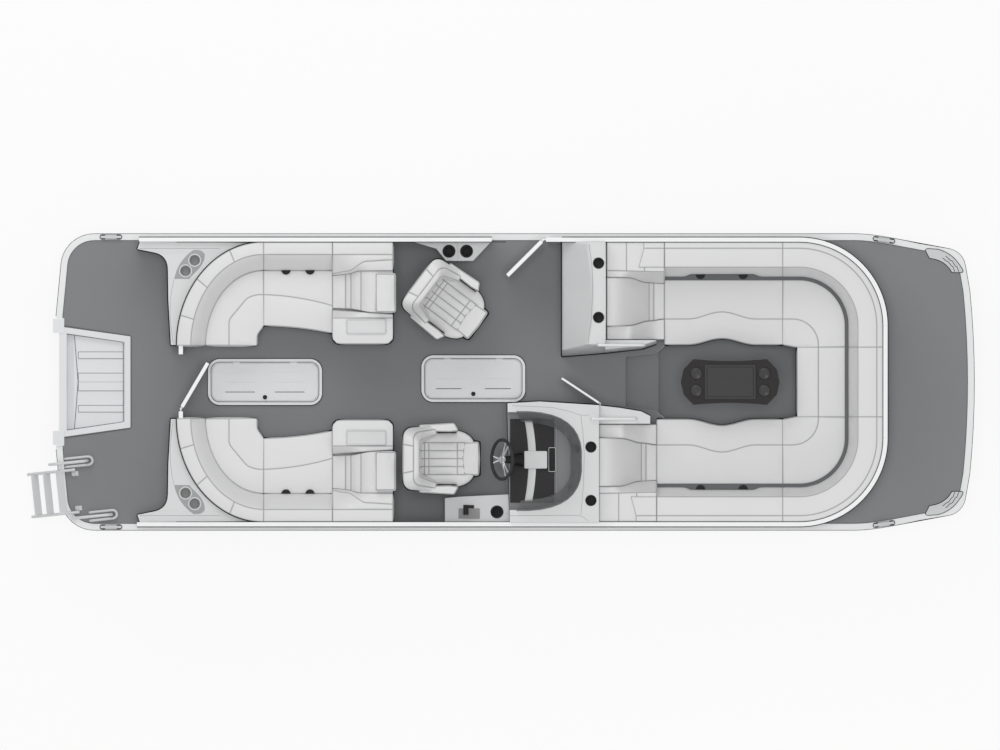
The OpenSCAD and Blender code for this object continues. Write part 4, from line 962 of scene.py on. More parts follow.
def pad(outline, z0, z1, soft=16 * mm, crown=9 * mm, lift=None, under=8 * mm):
    """Rings of an outline, then seam distances.

    A quarter round of radius under at z0, one of radius soft at z1, and shrinking rings that rise
    by crown * (1 - |x|^3) * (1 - |y|^3), x and y being shares of the half size.
    """
    a = np.linspace(0, math.pi / 2, 5)
    rings = [at_height(inset(outline, under * (1 - math.sin(t))), z0 + under * (1 - math.cos(t))) for t in a]
    rings += [at_height(inset(outline, soft * (1 - math.cos(t))), z1 - soft * (1 - math.sin(t))) for t in a[:-1]]
    top, centre = inset(outline, soft), outline.mean(0)
    half = np.ptp(top, axis=0) / 2
    for s in crown_shares:
        ring = centre + (top - centre) * s
        bow_up = np.prod(1 - np.clip(np.abs(ring - centre) / half, 0, 1) ** 3, axis=1)
        rings.append(at_height(ring, z1 + crown * bow_up))
    rings = np.array(rings)
    size = np.linalg.norm(top - centre, axis=1).mean()
    away = np.concatenate([np.linalg.norm(np.diff(rings, axis=0), axis=2).mean(1), [size]])
    distance = np.abs(np.cumsum(np.concatenate([[0], away[:-1]])) - np.cumsum(away)[shoulder_rings - 1])
    points, faces = stacked(rings)
    if lift:
        points[:, 2] += lift(points[:, 0])
    return points, faces, np.repeat(distance, rings.shape[1])


pillow_x = lounge_x + 1736 * mm
pillow_lean = 0.13
pillow_line = rounded_loop([cab(1739, 274), cab(1922, 274), cab(1922, 620), cab(1739, 620)], 26 * mm)
port_pillow = upright("port_head_pillow", *pad(
    resample(pillow_line, 120)[:-1], rear_back - 38 * mm, high("port_pillow").z - 8 * mm, soft=15 * mm,
    crown=22 * mm, lift=lambda x: -(x - pillow_x) * pillow_lean))
pair(port_pillow, vinyl_light, ["port_pillow"], 0.9)
print("pillow:", len(port_pillow.data.vertices), "points")

# %% [markdown]
# ### Tabs, tray and piping
# Between seat and backrest sit two half-round release tabs; the arm carries a shallow moulded tray,
# and black piping closes the line between cushions and base; its black also paints the shade there.
# The tray is an outline repeated at a list of (inset, height) steps, and piping is a circle carried
# along a plan line.

# %% Hard parts of a rear lounge
def half_disc(x, y, r, z, side=-1):
    """A half-round tab against a seam: its outline is a half circle, inboard of y."""
    return soft_slab(resample(arc((x, y), r, r * side, 0, 180, 20), 40)[:-1], z - 22 * mm, z, top=4 * mm)


def welt(line, z, r=6 * mm, sides=10, closed=False):
    """Piping or a bead: a circle of radius r carried along a plan line at height z."""
    return swept(at_height(line, z), round_section(r, sides), closed=closed)


port_tabs = joined("port_seat_tabs", [half_disc(*cab(u, 247), 41 * mm, rear_seat + 10 * mm) for u in (959, 1169)])
dish, dish_centre = rounded_box(349 * mm, 132 * mm, 20 * mm), cab(1661, 741)
dish_steps = [(-4, -4), (0, 6), (2, 11), (5, 13), (8, 11), (10, 6), (12, 3), (17, 2)]
port_tray = joined("port_arm_tray", [stacked([at_height(dish_centre + inset(dish, d * mm), arm_top + h * mm)
                                             for d, h in dish_steps])])
front_edge_line = np.concatenate([[cab(300, 909)], rounded([cab(704, 909), cab(709, 817), cab(768, 737)], 22 * mm),
                                  bend(cab(776, 737), cab(1080, 743), cab(seam_u, 806), 20)])
arm_foot = np.concatenate([arc(cab(u0 + 60, 833), 64 * mm, -64 * mm, 180, 90, 12),
                           arc(cab(u1 - 60, 833), 64 * mm, -64 * mm, 90, 0, 12),
                           [cab(u1 + 4, 640), cab(u1 + 4, 5)]])
# painted shade: the black piping along the foot also stands for the shade under the cushions' edge
port_piping_and_shade = joined("port_lounge_piping", [
    welt(resample(front_edge_line, 60), rear_base + 9 * mm), welt(resample(arm_foot, 80), rear_base + 9 * mm),
    welt(lounge_arc(0, 0), rear_back - 40 * mm)])
pair(port_tabs, deep_black)
pair(port_tray, gel_coat)
pair(port_piping_and_shade, rubber)
print("tray, tabs and piping made")

# %% [markdown]
# ### Cup holders
# A cup holder is a thin cup pressed into its bore, with a rolled rim that stands proud. It is one
# profile turned about an upright axis: up the outside, over the rim, down the inside to the floor.

# %% Cup liners
cup_r = 46 * mm
circle = lambda x, y, r, n=40: arc((x, y), r, r, 0, 360, n)[:-1]


def cup_liner(x, y, z, depth=68 * mm, rim=5 * mm):
    """Profile (radius, height) of a pressed cup with a rolled rim."""
    r = cup_r - 1.5 * mm
    profile = [(1 * mm, -depth - 2 * mm), (r - 4 * mm, -depth - 2 * mm), (r, -depth + 3 * mm), (r, 0.6 * mm),
               (r + rim - 1 * mm, 0.6 * mm), (r + rim, 2 * mm), (r + rim - 1.5 * mm, 4 * mm), (r - 1 * mm, 4 * mm),
               (r - 4 * mm, 1 * mm), (r - 5 * mm, -depth + 6 * mm), (r - 12 * mm, -depth), (1 * mm, -depth)]
    return turned(profile, (x, y, z), n=40)


def liners(name, places, z):
    """One piece of cup liners at those plan points."""
    return joined(name, [cup_liner(x, y, z) for x, y in places], 50)


def cup_rings(places, z, r, thick):
    """Rings of radius r about those plan points, thick being their section's radius."""
    return [welt(circle(x, y, r), z, thick, 8, closed=True) for x, y in places]


shell_top = high("port_corner_shell").z
gasket_z = deck_top + 6 * mm
shell_cups = [cab(160, 162), cab(80, 255)]
shell_foot = np.concatenate([[cab(-319, 2), cab(-346, 66), cab(-188, 99)],
                             bend(cab(-188, 99), cab(-78, 122), cab(-78, 250)),
                             [cab(-74, 510), cab(-52, 908), cab(-4, 908)]])
pair(joined("port_shell_gasket", [welt(resample(shell_foot, 90), gasket_z)]), rubber)
port_cups = liners("port_shell_cups", shell_cups, shell_top)
pair(port_cups, cup_grey)
pair(joined("port_shell_rings", cup_rings(shell_cups, shell_top + 3 * mm, 53 * mm, 3.6 * mm)), rim_white)
print("cup liners:", len(port_cups.data.vertices), "points")

# %% [markdown]
# ### Flat plates with holes
# Trims and panels are plates cut to an outline, some with holes. Blender's flat curve does this
# well: it fills the space between its closed splines, and its bevel rounds the rim. The result is
# made a mesh, so that it has its place in its own points like every other piece.

# %% Cut plates
def plate(name, loops, z, thick, edge=1.2 * mm):
    """Filled outline of the first loop less the others, thick deep with its top at z."""
    curve = bpy.data.curves.new(name, "CURVE")
    curve.dimensions, curve.fill_mode = "2D", "BOTH"
    curve.extrude, curve.bevel_depth, curve.bevel_resolution = thick / 2 - edge, edge, 2
    curve.offset = -edge
    for loop in loops:
        spline = curve.splines.new("POLY")
        spline.points.add(len(loop) - 1)
        spline.points.foreach_set("co", np.column_stack([loop, np.zeros(len(loop)), np.ones(len(loop))]).ravel())
        spline.use_cyclic_u = True
    maker = bpy.data.objects.new(name, curve)
    mesh = bpy.data.meshes.new_from_object(maker)
    bpy.data.objects.remove(maker)
    work = bmesh.new()
    work.from_mesh(mesh)
    bmesh.ops.remove_doubles(work, verts=work.verts[:], dist=0.02 * mm)
    faced_out(work)
    work.to_mesh(mesh)
    work.free()
    mesh.name = name
    points = coordinates(mesh)
    points[:, 2] += z - thick / 2
    mesh.vertices.foreach_set("co", points.ravel())
    crisp(mesh, 30)
    return linked(name, mesh)


inlay = np.concatenate([
    bend(cab(110, 325), cab(142, 290), cab(155, 278), 4), bend(cab(190, 243), cab(222, 208), cab(242, 161), 6),
    bend(cab(250, 116), cab(234, 72), cab(180, 72), 8), bend(cab(150, 72), cab(78, 118), cab(26, 202), 8),
    bend(cab(12, 230), cab(-8, 270), cab(-19, 325), 6)])
inlay_holes = [circle(*cup, cup_r + 2 * mm) for cup in shell_cups]
port_inlay = plate("port_cup_inlay", [inlay, *inlay_holes], shell_top + 1.6 * mm, 1.5 * mm, 0.3 * mm)
pair(port_inlay, inlay_grey)
print("inlay:", len(port_inlay.data.polygons), "faces")

# %% [markdown]
# ### Creases and plinth
# Fine grey lines on the shell mark where its top turns, and the lounge stands on a moulded plinth
# that steps back under the cushions. A crease is a very thin bead; the plinth is one slab.

# %% Shell creases and lounge plinth
crease_r = 1.8 * mm
shell_curve = resample(bend(cab(-20, 330), cab(-86, 560), cab(-26, 896)), 50)
shell_strip = [cab(-326, 59), cab(380, 59)]
pair(joined("port_shell_creases", [welt(line, shell_top, crease_r, 8) for line in (shell_curve, shell_strip)]),
     inlay_grey)
plinth_line = np.concatenate([lounge_arc(3, 3), [cab(1366, 3), cab(1875, 3), cab(1875, 840), cab(1366, 800)],
                              bend(cab(1366, 745), cab(1100, 690), cab(bend_u, 673))[1:],
                              [cab(640, 780), cab(620, 905)]])
plinth_foot = deck_top + 0.5 * mm
port_plinth = joined("port_lounge_plinth", [soft_slab(plinth_line, plinth_foot, rear_base + 2 * mm, top=0)])
pair(port_plinth, gel_coat, ["port_lounge_base"])
print("plinth:", len(port_plinth.data.polygons), "faces")

# %% [markdown]
# ### Bow lounge
# The bow lounge runs up one side, round the bow and back down the other in one line of cushions.
# Its seams are lines at fixed distances from the fence, so a rail needs only that distance: a
# straight, a quarter circle about the fence's own corner, and half of the straight across the bow.
# The starboard half is the port half mirrored, with its own after end.

# %% Lines that follow the fence
def at(x, y=0.0):
    """Plan point from a station x and a half-breadth y in mm; stations count from amidships."""
    return np.array([bow - (4140 - x) * mm, y * mm + 0 * np.asarray(x)])


bow_seam, nose_y = at(2465)[0], 305 * mm
bow_foot = bow_base + 4 * mm
side_ends = {1: at(1431)[0], -1: at(1363)[0]}
bow_shift = -68 * mm


def swell(x, middle=1933, length=590):
    """A smooth hump of height 1: (1 + cos) / 2 over its length."""
    x = (np.asarray(x) - at(middle)[0]) / (length * mm)
    return np.where(np.abs(x) < 0.5, 0.5 + 0.5 * np.cos(2 * np.pi * x), 0)


def recess(x):
    """1 between the two tabs of a side, falling smoothly to 0 outside them."""
    rise = np.clip((np.asarray(x) - at(1600)[0]) / (70 * mm), 0, 1)
    fall = np.clip((at(2275)[0] - np.asarray(x)) / (70 * mm), 0, 1)
    return smooth_step(np.minimum(rise, fall))


def corner_turn(r):
    """The quarter circle of radius r about the fence's bow corner, from the side to the bow."""
    return arc(corner, r, r, 90, 0, 40)


def bow_rail(side, turn, cross_x, z, n=rail_steps):
    """side(x) gives y along the side, turn the corner's points, cross_x the line across the bow."""
    parts = []
    for hand in (1, -1):
        x = np.linspace(side_ends[hand], bow_seam, n + 1)
        run = np.column_stack([x, side(x)])
        parts.append([at_height(p, z) * (1, hand, 1) for p in (run, resample(turn, n))])
    cross = at_height([(cross_x, nose_y), (cross_x, -nose_y)], z)
    (port_side, port_turn), (star_side, star_turn) = parts
    return rail(port_side, port_turn, cross, star_turn[::-1], star_side[::-1], n=n)


def fence_line(d, z, dip=0):
    """The rail at distance d (mm) from the fence, dip nearer to it between the tabs."""
    turn = np.concatenate([[(bow_seam, cabin - d * mm)], corner_turn(fence_r - d * mm), [(front_x - d * mm, nose_y)]])
    return bow_rail(lambda x: cabin - (d - dip * recess(x)) * mm, turn, front_x - d * mm, z)


bow_stops = [rail_steps * k for k in range(6)]
back_rails = [fence_line(4, bow_foot), fence_line(4, bow_back - 20 * mm), fence_line(57, bow_back - 7 * mm),
              fence_line(223, bow_back - 14 * mm), fence_line(304, bow_seat + 22 * mm, 22),
              fence_line(306, bow_foot, 22)]
backs = upright("bow_backrest", *quilt(back_rails, [0, 4 * mm, 12 * mm, 8 * mm, 0, 0], bow_stops))
fitted(stuffed(backs), vinyl_light, nodes=["bow_backs"])
print("bow backrest:", len(backs.data.vertices), "points")

# %% [markdown]
# #### Bow seat
# The seat's front edge waves out amidships on each side, to meet the table. The wave is a raised
# cosine added to a straight line. Behind the cushion a graphite strip fills the crease as painted shade,
# with release tabs on it, and black piping runs along the foot, also painting the shade under it.

# %% Seat with a waved front
def waved(y, height):
    """A side line at half-breadth y (mm) that swells outwards by height (mm)."""
    return lambda x: (y + height * swell(x)) * mm


seat_turn = np.concatenate([[(bow_seam, 551 * mm)], arc(at(2552, 326), 225 * mm, 225 * mm, 90, 0, 30),
                            [at(2777, 305)]])
edge_turn = np.array([(bow_seam, 327 * mm), at(2590, 305)])
foot_turn = np.array([(bow_seam, 333 * mm), at(2596, 305)])
seat_rails = [
    fence_line(330, bow_foot), fence_line(330, bow_seat - 12 * mm),
    bow_rail(waved(551, 62), seat_turn, at(2777)[0], bow_seat - 3 * mm),
    bow_rail(waved(327, 55), edge_turn, at(2591)[0], bow_seat - 20 * mm),
    bow_rail(waved(333, 55), foot_turn, at(2597)[0], bow_foot)]
seats = upright("bow_cushions", *quilt(seat_rails, [0, 13 * mm, 13 * mm, 8 * mm, 0], bow_stops))
fitted(stuffed(seats), vinyl_light, nodes=["bow_seats"])
print("bow seat:", len(seats.data.vertices), "points")


# %% Painted crease shade, tabs and piping
def loft(rails):
    """A plain closed body between a ring of rails, with no stuffing."""
    return stacked(np.stack(rails, axis=1))


# painted shade: a graphite strip tucked into the crease behind the cushion stands for its shade
crease_shade_strip = joined("bow_crease_shade", [loft([
    fence_line(296, bow_seat - 30 * mm, 24), fence_line(296, bow_seat + 3 * mm, 24),
    fence_line(338, bow_seat + 1 * mm), fence_line(338, bow_seat - 30 * mm)])])
fitted(crease_shade_strip, graphite)
tabs = [half_disc(at(x)[0], hand * (cabin - 286 * mm), 42 * mm, bow_seat + 9 * mm, -hand)
        for x in (1746, 2119) for hand in (1, -1)]
fitted(joined("bow_seat_tabs", tabs), deep_black)
# the black piping along the foot also paints the shade under the seat's edge
piping_turn = np.array([(bow_seam, 321 * mm), at(2583, 305)])
piping = bow_rail(waved(321, 55), piping_turn, at(2584)[0], bow_base + 9 * mm)
fitted(joined("bow_lounge_piping_and_shade", [swept(piping, round_section(6 * mm, 10))]), rubber)
print("strip,", len(tabs), "tabs and piping")

# %% [markdown]
# #### Bow loungers
# Each side of the bow lounge begins with a lounger that leans on the console: a low block along the
# fence, a head cushion on it, a ribbed slope to lie on and a narrow shelf inboard. They share one
# slope, so each rail's height is a function of its station.

# %% Bow lounger heights and seams
bow_head = bow_back + 36 * mm
x0, x1 = 927, 1429


def slope(x):
    """Height of a bow lounger's back at station x: high at its after end, down to the seat."""
    return bow_head + (bow_seat - 2 * mm - bow_head) * smooth_step(np.clip((x - 950) / 440, 0, 1))


deck_line = lambda knots, z: smooth_line(knots, z, at)
level_line = lambda y, z, start=x0: deck_line([(start, y), (x1, y)], z)
capped = lambda cap, lift: lambda x: np.minimum(bow_back - cap * mm, slope(x) + lift * mm)
shares = lambda stations: [rail_steps * (x - x0) / (x1 - x0) for x in stations]
shoulder, shelf, strip_edge = capped(16, 18), capped(122, 12), lambda x: slope(x) - 6 * mm
outer_edge = [(x0, 915), (1110, 915), (1290, 871), (x1, 864)]
inner_edge = [(x0, 486), (1120, 492), (1300, 532), (x1, 548)]
print("bow lounger from station", x0, "to", x1)

# %% The lounger's cushions
block_rails = [level_line(1223, bow_base), level_line(1223, bow_back - 26 * mm),
               deck_line([(x0, 975), (x1, 965)], bow_back - 18 * mm), deck_line(outer_edge, shoulder),
               deck_line(outer_edge, bow_base)]
port_block = upright("port_bow_lounger_block", *quilt(
    block_rails, [0, 6 * mm, 4 * mm, 0, 0], [0, *shares((1098, 1255)), rail_steps], {2: (0, 3), 3: (0, 3), 4: (0, 3)}))
head_rails = [level_line(1222, bow_back - 60 * mm, 1250), level_line(1222, bow_back - 20 * mm, 1250),
              level_line(1170, bow_back - 3 * mm, 1250), level_line(1004, bow_back - 4 * mm, 1204),
              deck_line([(1256, 947), (1335, 924), (x1, 922)], lambda x: shoulder(x) + 7 * mm),
              deck_line([(1256, 951), (1335, 928), (x1, 926)], lambda x: shoulder(x) - 30 * mm)]
port_head = upright("port_bow_lounger_head",
                    *quilt(head_rails, [0, 4 * mm, 9 * mm, 5 * mm, 0, 0], [0, rail_steps], ends=(14 * mm, 0)))
strap_out, strap_in = [(x, y - 3) for x, y in outer_edge], [(x, y + 3) for x, y in inner_edge]
recline_rails = [deck_line(strap_out, bow_base), deck_line(strap_out, strip_edge), deck_line(strap_in, strip_edge),
                 deck_line(strap_in, bow_base)]
port_slope = upright("port_bow_lounger_recline",
                     *quilt(recline_rails, [0, 12 * mm, 0, 0], [0, *shares((1296, 1337)), rail_steps]))
shelf_rails = [deck_line(inner_edge, bow_base), deck_line(inner_edge, shelf), level_line(372, capped(122, 14)),
               level_line(372, bow_base)]
port_shelf = upright("port_bow_lounger_shelf", *quilt(shelf_rails, [0, 7 * mm, 0, 0], [0, rail_steps], ends=(0, 0)))
lounger = (port_block, port_head, port_slope, port_shelf)
for cushion in lounger:
    pair(cushion, vinyl_light, ["port_bow_chaise"], 0.85, shift=bow_shift)
base_line = np.array([at(x0 + 2, 375), at(x1, 375), at(x1, 1222), at(x0 + 2, 1222)])
pair(joined("port_bow_lounger_plinth", [soft_slab(base_line, plinth_foot, bow_base, top=0)]),
     gel_coat, shift=bow_shift)
print("bow lounger:", sum(len(o.data.vertices) for o in lounger), "points")

# %% [markdown]
# ## Mouldings with soft edges
# A gel-coated moulding or a powder-coated tube never has a knife edge. Where a plain solid already
# has the right shape, its copy is welded, its flat triangles are joined into whole faces, and every
# edge that turns sharply gets a small round. Turned solids only need the weld and smooth shading.

# %% Soft-edged copies
weld_gap, flat_turn = 0.01 * mm, math.radians(0.6)


def softened(node, width=4 * mm, turn=28):
    """A welded copy of a solid whose edges turning more than turn degrees are rounded by width."""
    work = bmesh.new()
    work.from_mesh(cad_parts[node].data)
    bmesh.ops.remove_doubles(work, verts=work.verts[:], dist=weld_gap)
    bmesh.ops.dissolve_limit(work, angle_limit=flat_turn, verts=work.verts[:], edges=work.edges[:])
    if width:
        sharp = [e for e in work.edges if e.is_manifold and e.calc_face_angle(0) > math.radians(turn)]
        bmesh.ops.bevel(work, geom=sharp, offset=width, offset_type="OFFSET", segments=2, profile=0.6,
                        clamp_overlap=True, affect="EDGES")
    faced_out(work)
    mesh = bpy.data.meshes.new(node + "_shaped")
    work.to_mesh(mesh)
    work.free()
    crisp(mesh, 24)
    return linked(mesh.name, mesh)


def shaped(node, mat, slot, width=4 * mm, body="boat", **how):
    """A soft-edged copy that stands for its solid."""
    return fitted(softened(node, width, **how), mat, body, [node])


def bored(obj, holes, z, depth=75 * mm, r=cup_r):
    """Cuts round bores into a piece: an exact difference with upright cylinders."""
    cutter = joined("bores", [turned([(r, -depth), (r, 20 * mm)], (x, y, z), n=48) for x, y in holes])
    cut = obj.modifiers.new("bores", "BOOLEAN")
    cut.object, cut.operation, cut.solver = cutter, "DIFFERENCE", "EXACT"
    mesh = bpy.data.meshes.new_from_object(obj.evaluated_get(bpy.context.evaluated_depsgraph_get()))
    obj.modifiers.clear()
    obj.data = mesh
    mesh.name = obj.name
    bpy.data.objects.remove(cutter)


for side in ("port", "starboard"):
    shaped(side + "_corner_shell", gel_coat, "moulding", 3 * mm)
print("corner shells softened")

# %% [markdown]
# ### Port console
# The port console is one moulding. Its after face slopes up to a curved brow, a flat shelf with two
# cup holders follows, and its inboard wall flares out towards the floor and runs on as a coaming.
# It is a row of sections set side by side: each is the console's side view, moved in or out so that
# the wall flares.

# %% Port console: its section and its wall
console_aft, console_fore = low("port_console").x, at(919)[0]
coaming_end = high("port_console").x
coaming_z = bow_back - 80 * mm
foot_line = np.array([at(534, 223), at(919, 256), at(1228, 288), at(1360, 332)])


def wall_y(x, z):
    """The inboard wall: on the floor line below, at 330 mm above, with a smooth flare between."""
    foot = np.interp(x, foot_line[:, 0], foot_line[:, 1])
    lift = np.clip((z - deck_top) / (con_top - deck_top), 0, 1)
    return foot + (np.maximum(foot, 330 * mm) - foot) * lift ** 1.5


def console_section(brow, tuck=0.0):
    """Side view (x, z) from the floor up the after face, over the brow and down the fore face."""
    top = con_top - tuck
    corners = [(console_fore - tuck, plinth_foot), (console_fore - tuck, top), (brow, top),
               (console_aft + tuck, top - 320 * mm), (console_aft + tuck, plinth_foot)]
    return resample(rounded(corners, 18 * mm, 6), 90)


def console_ring(share):
    """The section at a share of the way from the wall to the fence; its ends tuck in by 8 mm."""
    tuck = 8 * mm * max(0, 1 - 100 * min(share, 1 - share) / 1.2) ** 2
    brow_x = at(766 + 42 * math.sin(math.pi * min(1, max(0, (share - 0.02) / 0.9))))[0]
    side = console_section(brow_x, tuck)
    inner = wall_y(side[:, 0], side[:, 1])
    return np.column_stack([side[:, 0], inner + share * (cabin - 1 * mm - inner), side[:, 1]])


across_y = np.concatenate([[0, 0.004, 0.012], np.linspace(0.03, 0.97, 40), [0.988, 0.996, 1]])
port_console = joined("port_console_moulding", [stacked([console_ring(share) for share in across_y])])
console_cups = [at(854, 565), at(854, 1040)]
bored(port_console, console_cups, con_top)
fitted(port_console, gel_coat, nodes=["port_console"])
print("port console:", len(port_console.data.polygons), "faces")

# %% Coaming, crease and cups
stations = np.linspace(console_fore - 6 * mm, coaming_end, 40)


def coaming_rail(inset_y, z):
    """A line along the wall's foot, moved outboard by inset_y but never past 366 mm."""
    y = wall_y(stations, deck_top) + inset_y
    return np.column_stack([stations, np.minimum(y, 366 * mm), np.full(40, z)])


coaming = [coaming_rail(y, z) for y, z in (
    (0, deck_top + 1 * mm), (28 * mm, coaming_z - 14 * mm), (33 * mm, coaming_z - 4 * mm), (42 * mm, coaming_z),
    (math.inf, coaming_z), (math.inf, deck_top + 1 * mm))]
fitted(joined("port_coaming", [loft(coaming)], 50), gel_coat, nodes=["port_console"])
brow = rounded([at(770, 1206), at(796, 1026), at(803, 811), at(790, 544), at(760, 343)], 60 * mm)
fitted(joined("port_console_crease", [welt(resample(brow, 50), con_top, crease_r)]), inlay_grey)
fitted(liners("port_console_cups", console_cups, con_top), soft_black)
print("coaming to", round(coaming_end, 3))

# %% [markdown]
# ### Helm
# The helm console holds a sloping instrument panel in a bay that is round at the bow, under a low
# smoked screen. The bay has a grey liner; on the black panel stand a pale arched strip, the gauge
# pod and a small screen, and ahead of them a padded brow.

# %% Helm console, liner and panel
bay_mid = -692 * mm
shaped("helm_console", gel_coat, "moulding", 5 * mm)
shaped("dash", soft_black, "dash", 3 * mm)
shaped("windscreen", acrylic, "smoked_glass", 1.5 * mm)
fitted(liners("helm_console_cups", [at(787, -569), at(787, -1037)], con_top), soft_black)


def slope_z(x):
    """Height of the bay's floor: the panel's slope, then level."""
    return np.interp(x, [at(37)[0], at(477)[0], at(497)[0]], con_top - np.array([291, 60, 40]) * mm)


def slab_of(grid, t):
    """A closed sheet t thick below a grid of points."""
    return stacked(np.concatenate([grid, grid[:, ::-1] - (0, 0, t)], axis=1))


half_bay = bend(at(137, -268), at(736, -250), at(694, -692), 24)
other_half = half_bay[::-1][1:] * (1, -1) + (0, 2 * bay_mid)
bay = np.concatenate([half_bay, other_half])
bay_aft = np.interp(bay[:, 1:], [-cabin, -187 * mm], [at(78)[0], at(60)[0]])
x_grid = bay_aft + (bay[:, :1] - bay_aft) * np.linspace(0, 1, 40)[None, :]
liner = np.stack([x_grid, np.broadcast_to(bay[:, 1:], x_grid.shape), slope_z(x_grid) + 4 * mm], axis=2)
# painted light: the liner is lighter than its graphite, to offset the shade of the recess and the screen above
fitted(joined("helm_bay_liner", [slab_of(liner, 3 * mm)]), liner_grey)
print("bay lined")


# %% Trim on the sloping panel
def on_panel(shape, rise=16.4 * mm):
    """Lays a flat shape on the sloping panel."""
    points, faces = shape
    return points + np.column_stack([np.zeros((len(points), 2)), slope_z(points[:, 0]) + rise]), faces


def tile(x0, x1, y0, y1, r, z0, z1, top=3 * mm):
    """A rounded block between two corners given in mm."""
    centre, size = (at(x0, y0) + at(x1, y1)) / 2, np.abs(at(x1, y1) - at(x0, y0))
    return soft_slab(centre + rounded_box(*size, r), z0, z1, top)


y_strip = np.linspace(-338, -1044, 36)
x_mid = 240 + 34 * (1 - ((y_strip + 690) / 353) ** 2)
offset = np.linspace(-33, 33, 9)[None, :]
x_strip = at(x_mid[:, None] + offset)[0]
strip = np.stack([x_strip, np.broadcast_to(y_strip[:, None] * mm, x_strip.shape),
                  slope_z(x_strip) + (18 + 8 * (1 - (offset / 33) ** 4)) * mm], axis=2)
gauge_pod = tile(204, 404, -604, -758, 12 * mm, -6 * mm, 34 * mm, 6 * mm)
screen_frame = tile(416, 479, -572, -786, 10 * mm, -4 * mm, 8 * mm, 2 * mm)
fitted(joined("helm_trim", [slab_of(strip, 8 * mm), on_panel(gauge_pod), on_panel(screen_frame)]),
       gel_coat)
panel_tiles = [("helm_screen", tile(420, 475, -577, -781, 6 * mm, -2 * mm, 11 * mm, 2 * mm), deep_black),
               ("helm_brow_frame", tile(482, 618, -314, -1033, 20 * mm, -16 * mm, 6 * mm, 2 * mm), inlay_grey),
               ("helm_brow_pad", tile(488, 612, -320, -1027, 16 * mm, -14 * mm, 14 * mm, 6 * mm), liner_grey)]
for name, shape, mat in panel_tiles:
    fitted(joined(name, [on_panel(shape)]), mat)
print("helm trim made")

# %% [markdown]
# ### Steering wheel
# The wheel has a soft black grip with a line of stitching on its inner side, three pairs of bright
# spokes and a turned cap, and a rubber boot covers the column. All of it is drawn flat about the hub
# and tipped into the wheel's own plane by three axes, so the wheel turns about the same line as its
# joint.

# %% Wheel and column
tilt = math.radians(58)
hub = np.array([at(10)[0], -679 * mm, con_top - 105 * mm])
axes = np.array([(math.cos(tilt), 0, math.sin(tilt)), (0, 1, 0), (-math.sin(tilt), 0, math.cos(tilt))])
wheel_axis = tuple(axes[2])
on_wheel = lambda p: hub + np.asarray(p, float) @ axes
rim_r, grip_r = 172.5 * mm, 14.5 * mm
grip = swept(on_wheel(at_height(circle(0, 0, rim_r, 72), 0)), round_section(grip_r, 16), up=wheel_axis, closed=True)
stitch = swept(on_wheel(at_height(circle(0, 0, rim_r - 13.6 * mm, 72), 4 * mm)), round_section(1.6 * mm, 6),
               up=wheel_axis, closed=True)
fitted(joined("wheel_rim", [grip, stitch], 180), soft_black, "steering_wheel", ["steering_wheel"])
spoke_section = arc((0, 0), 10 * mm, 4 * mm, 0, 360, 12)[:-1]


def spoke(angle, hand):
    """One of a pair of spokes: it leaves the hub beside its partner and spreads towards the rim."""
    u = np.linspace(0, 1, 14)
    r, off = (28 + 134 * u) * mm, hand * (8 + 24 * u ** 1.5) * mm
    c, s = math.cos(math.radians(angle)), math.sin(math.radians(angle))
    path = np.column_stack([r * c - off * s, r * s + off * c, (4 - 6 * u) * mm])
    return swept(on_wheel(path), spoke_section, up=wheel_axis)


spokes = [spoke(angle, hand) for angle in (60, 180, 300) for hand in (-1, 1)]
cap = [(2, -16), (36, -16), (42, -8), (44, 4), (40, 9), (30, 12), (26, 10), (20, 13), (2, 15)]
bellows = [(2, -197), (60, -196), (62, -190), (54, -178), (58, -168), (48, -154), (52, -144), (42, -128),
           (46, -118), (36, -100), (34, -60), (30, -34), (26, -26), (2, -25)]
spokes.append(turned(np.array(cap) * mm, hub, axes[2], 40))
fitted(joined("wheel_spokes", spokes), chrome, "steering_wheel")
fitted(joined("column_boot", [turned(np.array(bellows) * mm, hub, axes[2], 40)], 60), deep_black,
       nodes=["steering_column"])
print("wheel:", len(spokes), "bright pieces")

# %% [markdown]
# ### Stands
# Beside each chair a small moulded stand carries cups, and the helm's also the throttle in a grey
# recess. Black rings seal the cups. Creases on the helm console's top mark where its mouldings meet.

# %% Stands at the sides
stand_top = high("throttle_stand").z
shaped("throttle_stand", gel_coat, "moulding", 4 * mm)
shaped("port_stand", gel_coat, "moulding", 4 * mm)
shaped("throttle", deep_black, "black_plastic", 5 * mm)
recess_tile = tile(-372, -184, -1105, -1197, 8 * mm, stand_top - 2 * mm, stand_top + 3 * mm, 1.5 * mm)
fitted(joined("throttle_recess", [recess_tile]), cup_grey)
stand_cups = [at(-35, -1137), at(-455, 1144), at(-301, 1144)]
fitted(liners("throttle_stand_cup", stand_cups[:1], stand_top), soft_black)
fitted(liners("port_stand_cups", stand_cups[1:], stand_top), soft_black)
stand_rings = cup_rings(stand_cups, stand_top + 1.5 * mm, 51 * mm, 6 * mm)
fitted(joined("stand_cup_rings", stand_rings), deep_black)
creases = [[(96, -207), (448, -222), (599, -257), (699, -293), (765, -291)],
           [(699, -296), (719, -455), (729, -639), (722, -907), (699, -1162)],
           [(80, -1170), (699, -1166), (766, -1218)]]
crease_lines = [resample(rounded([at(*q) for q in crease], 40 * mm), 60) for crease in creases]
fitted(joined("helm_console_creases", [welt(line, con_top, crease_r) for line in crease_lines]),
       inlay_grey)
fitted(softened("console_rails", 0), rail_metal, nodes=["console_rails"])
print("stands and rails done")

# %% [markdown]
# ### Captain's chairs
# Both chairs are alike, so one is sewn at the helm and a copy is turned to the companion's place.
# The wrap-round back is a quilt whose rails run from wing to wing; its height falls off along the
# wings. The seat has four ribs between two lobes, a squared bolster in front and two arm pads.

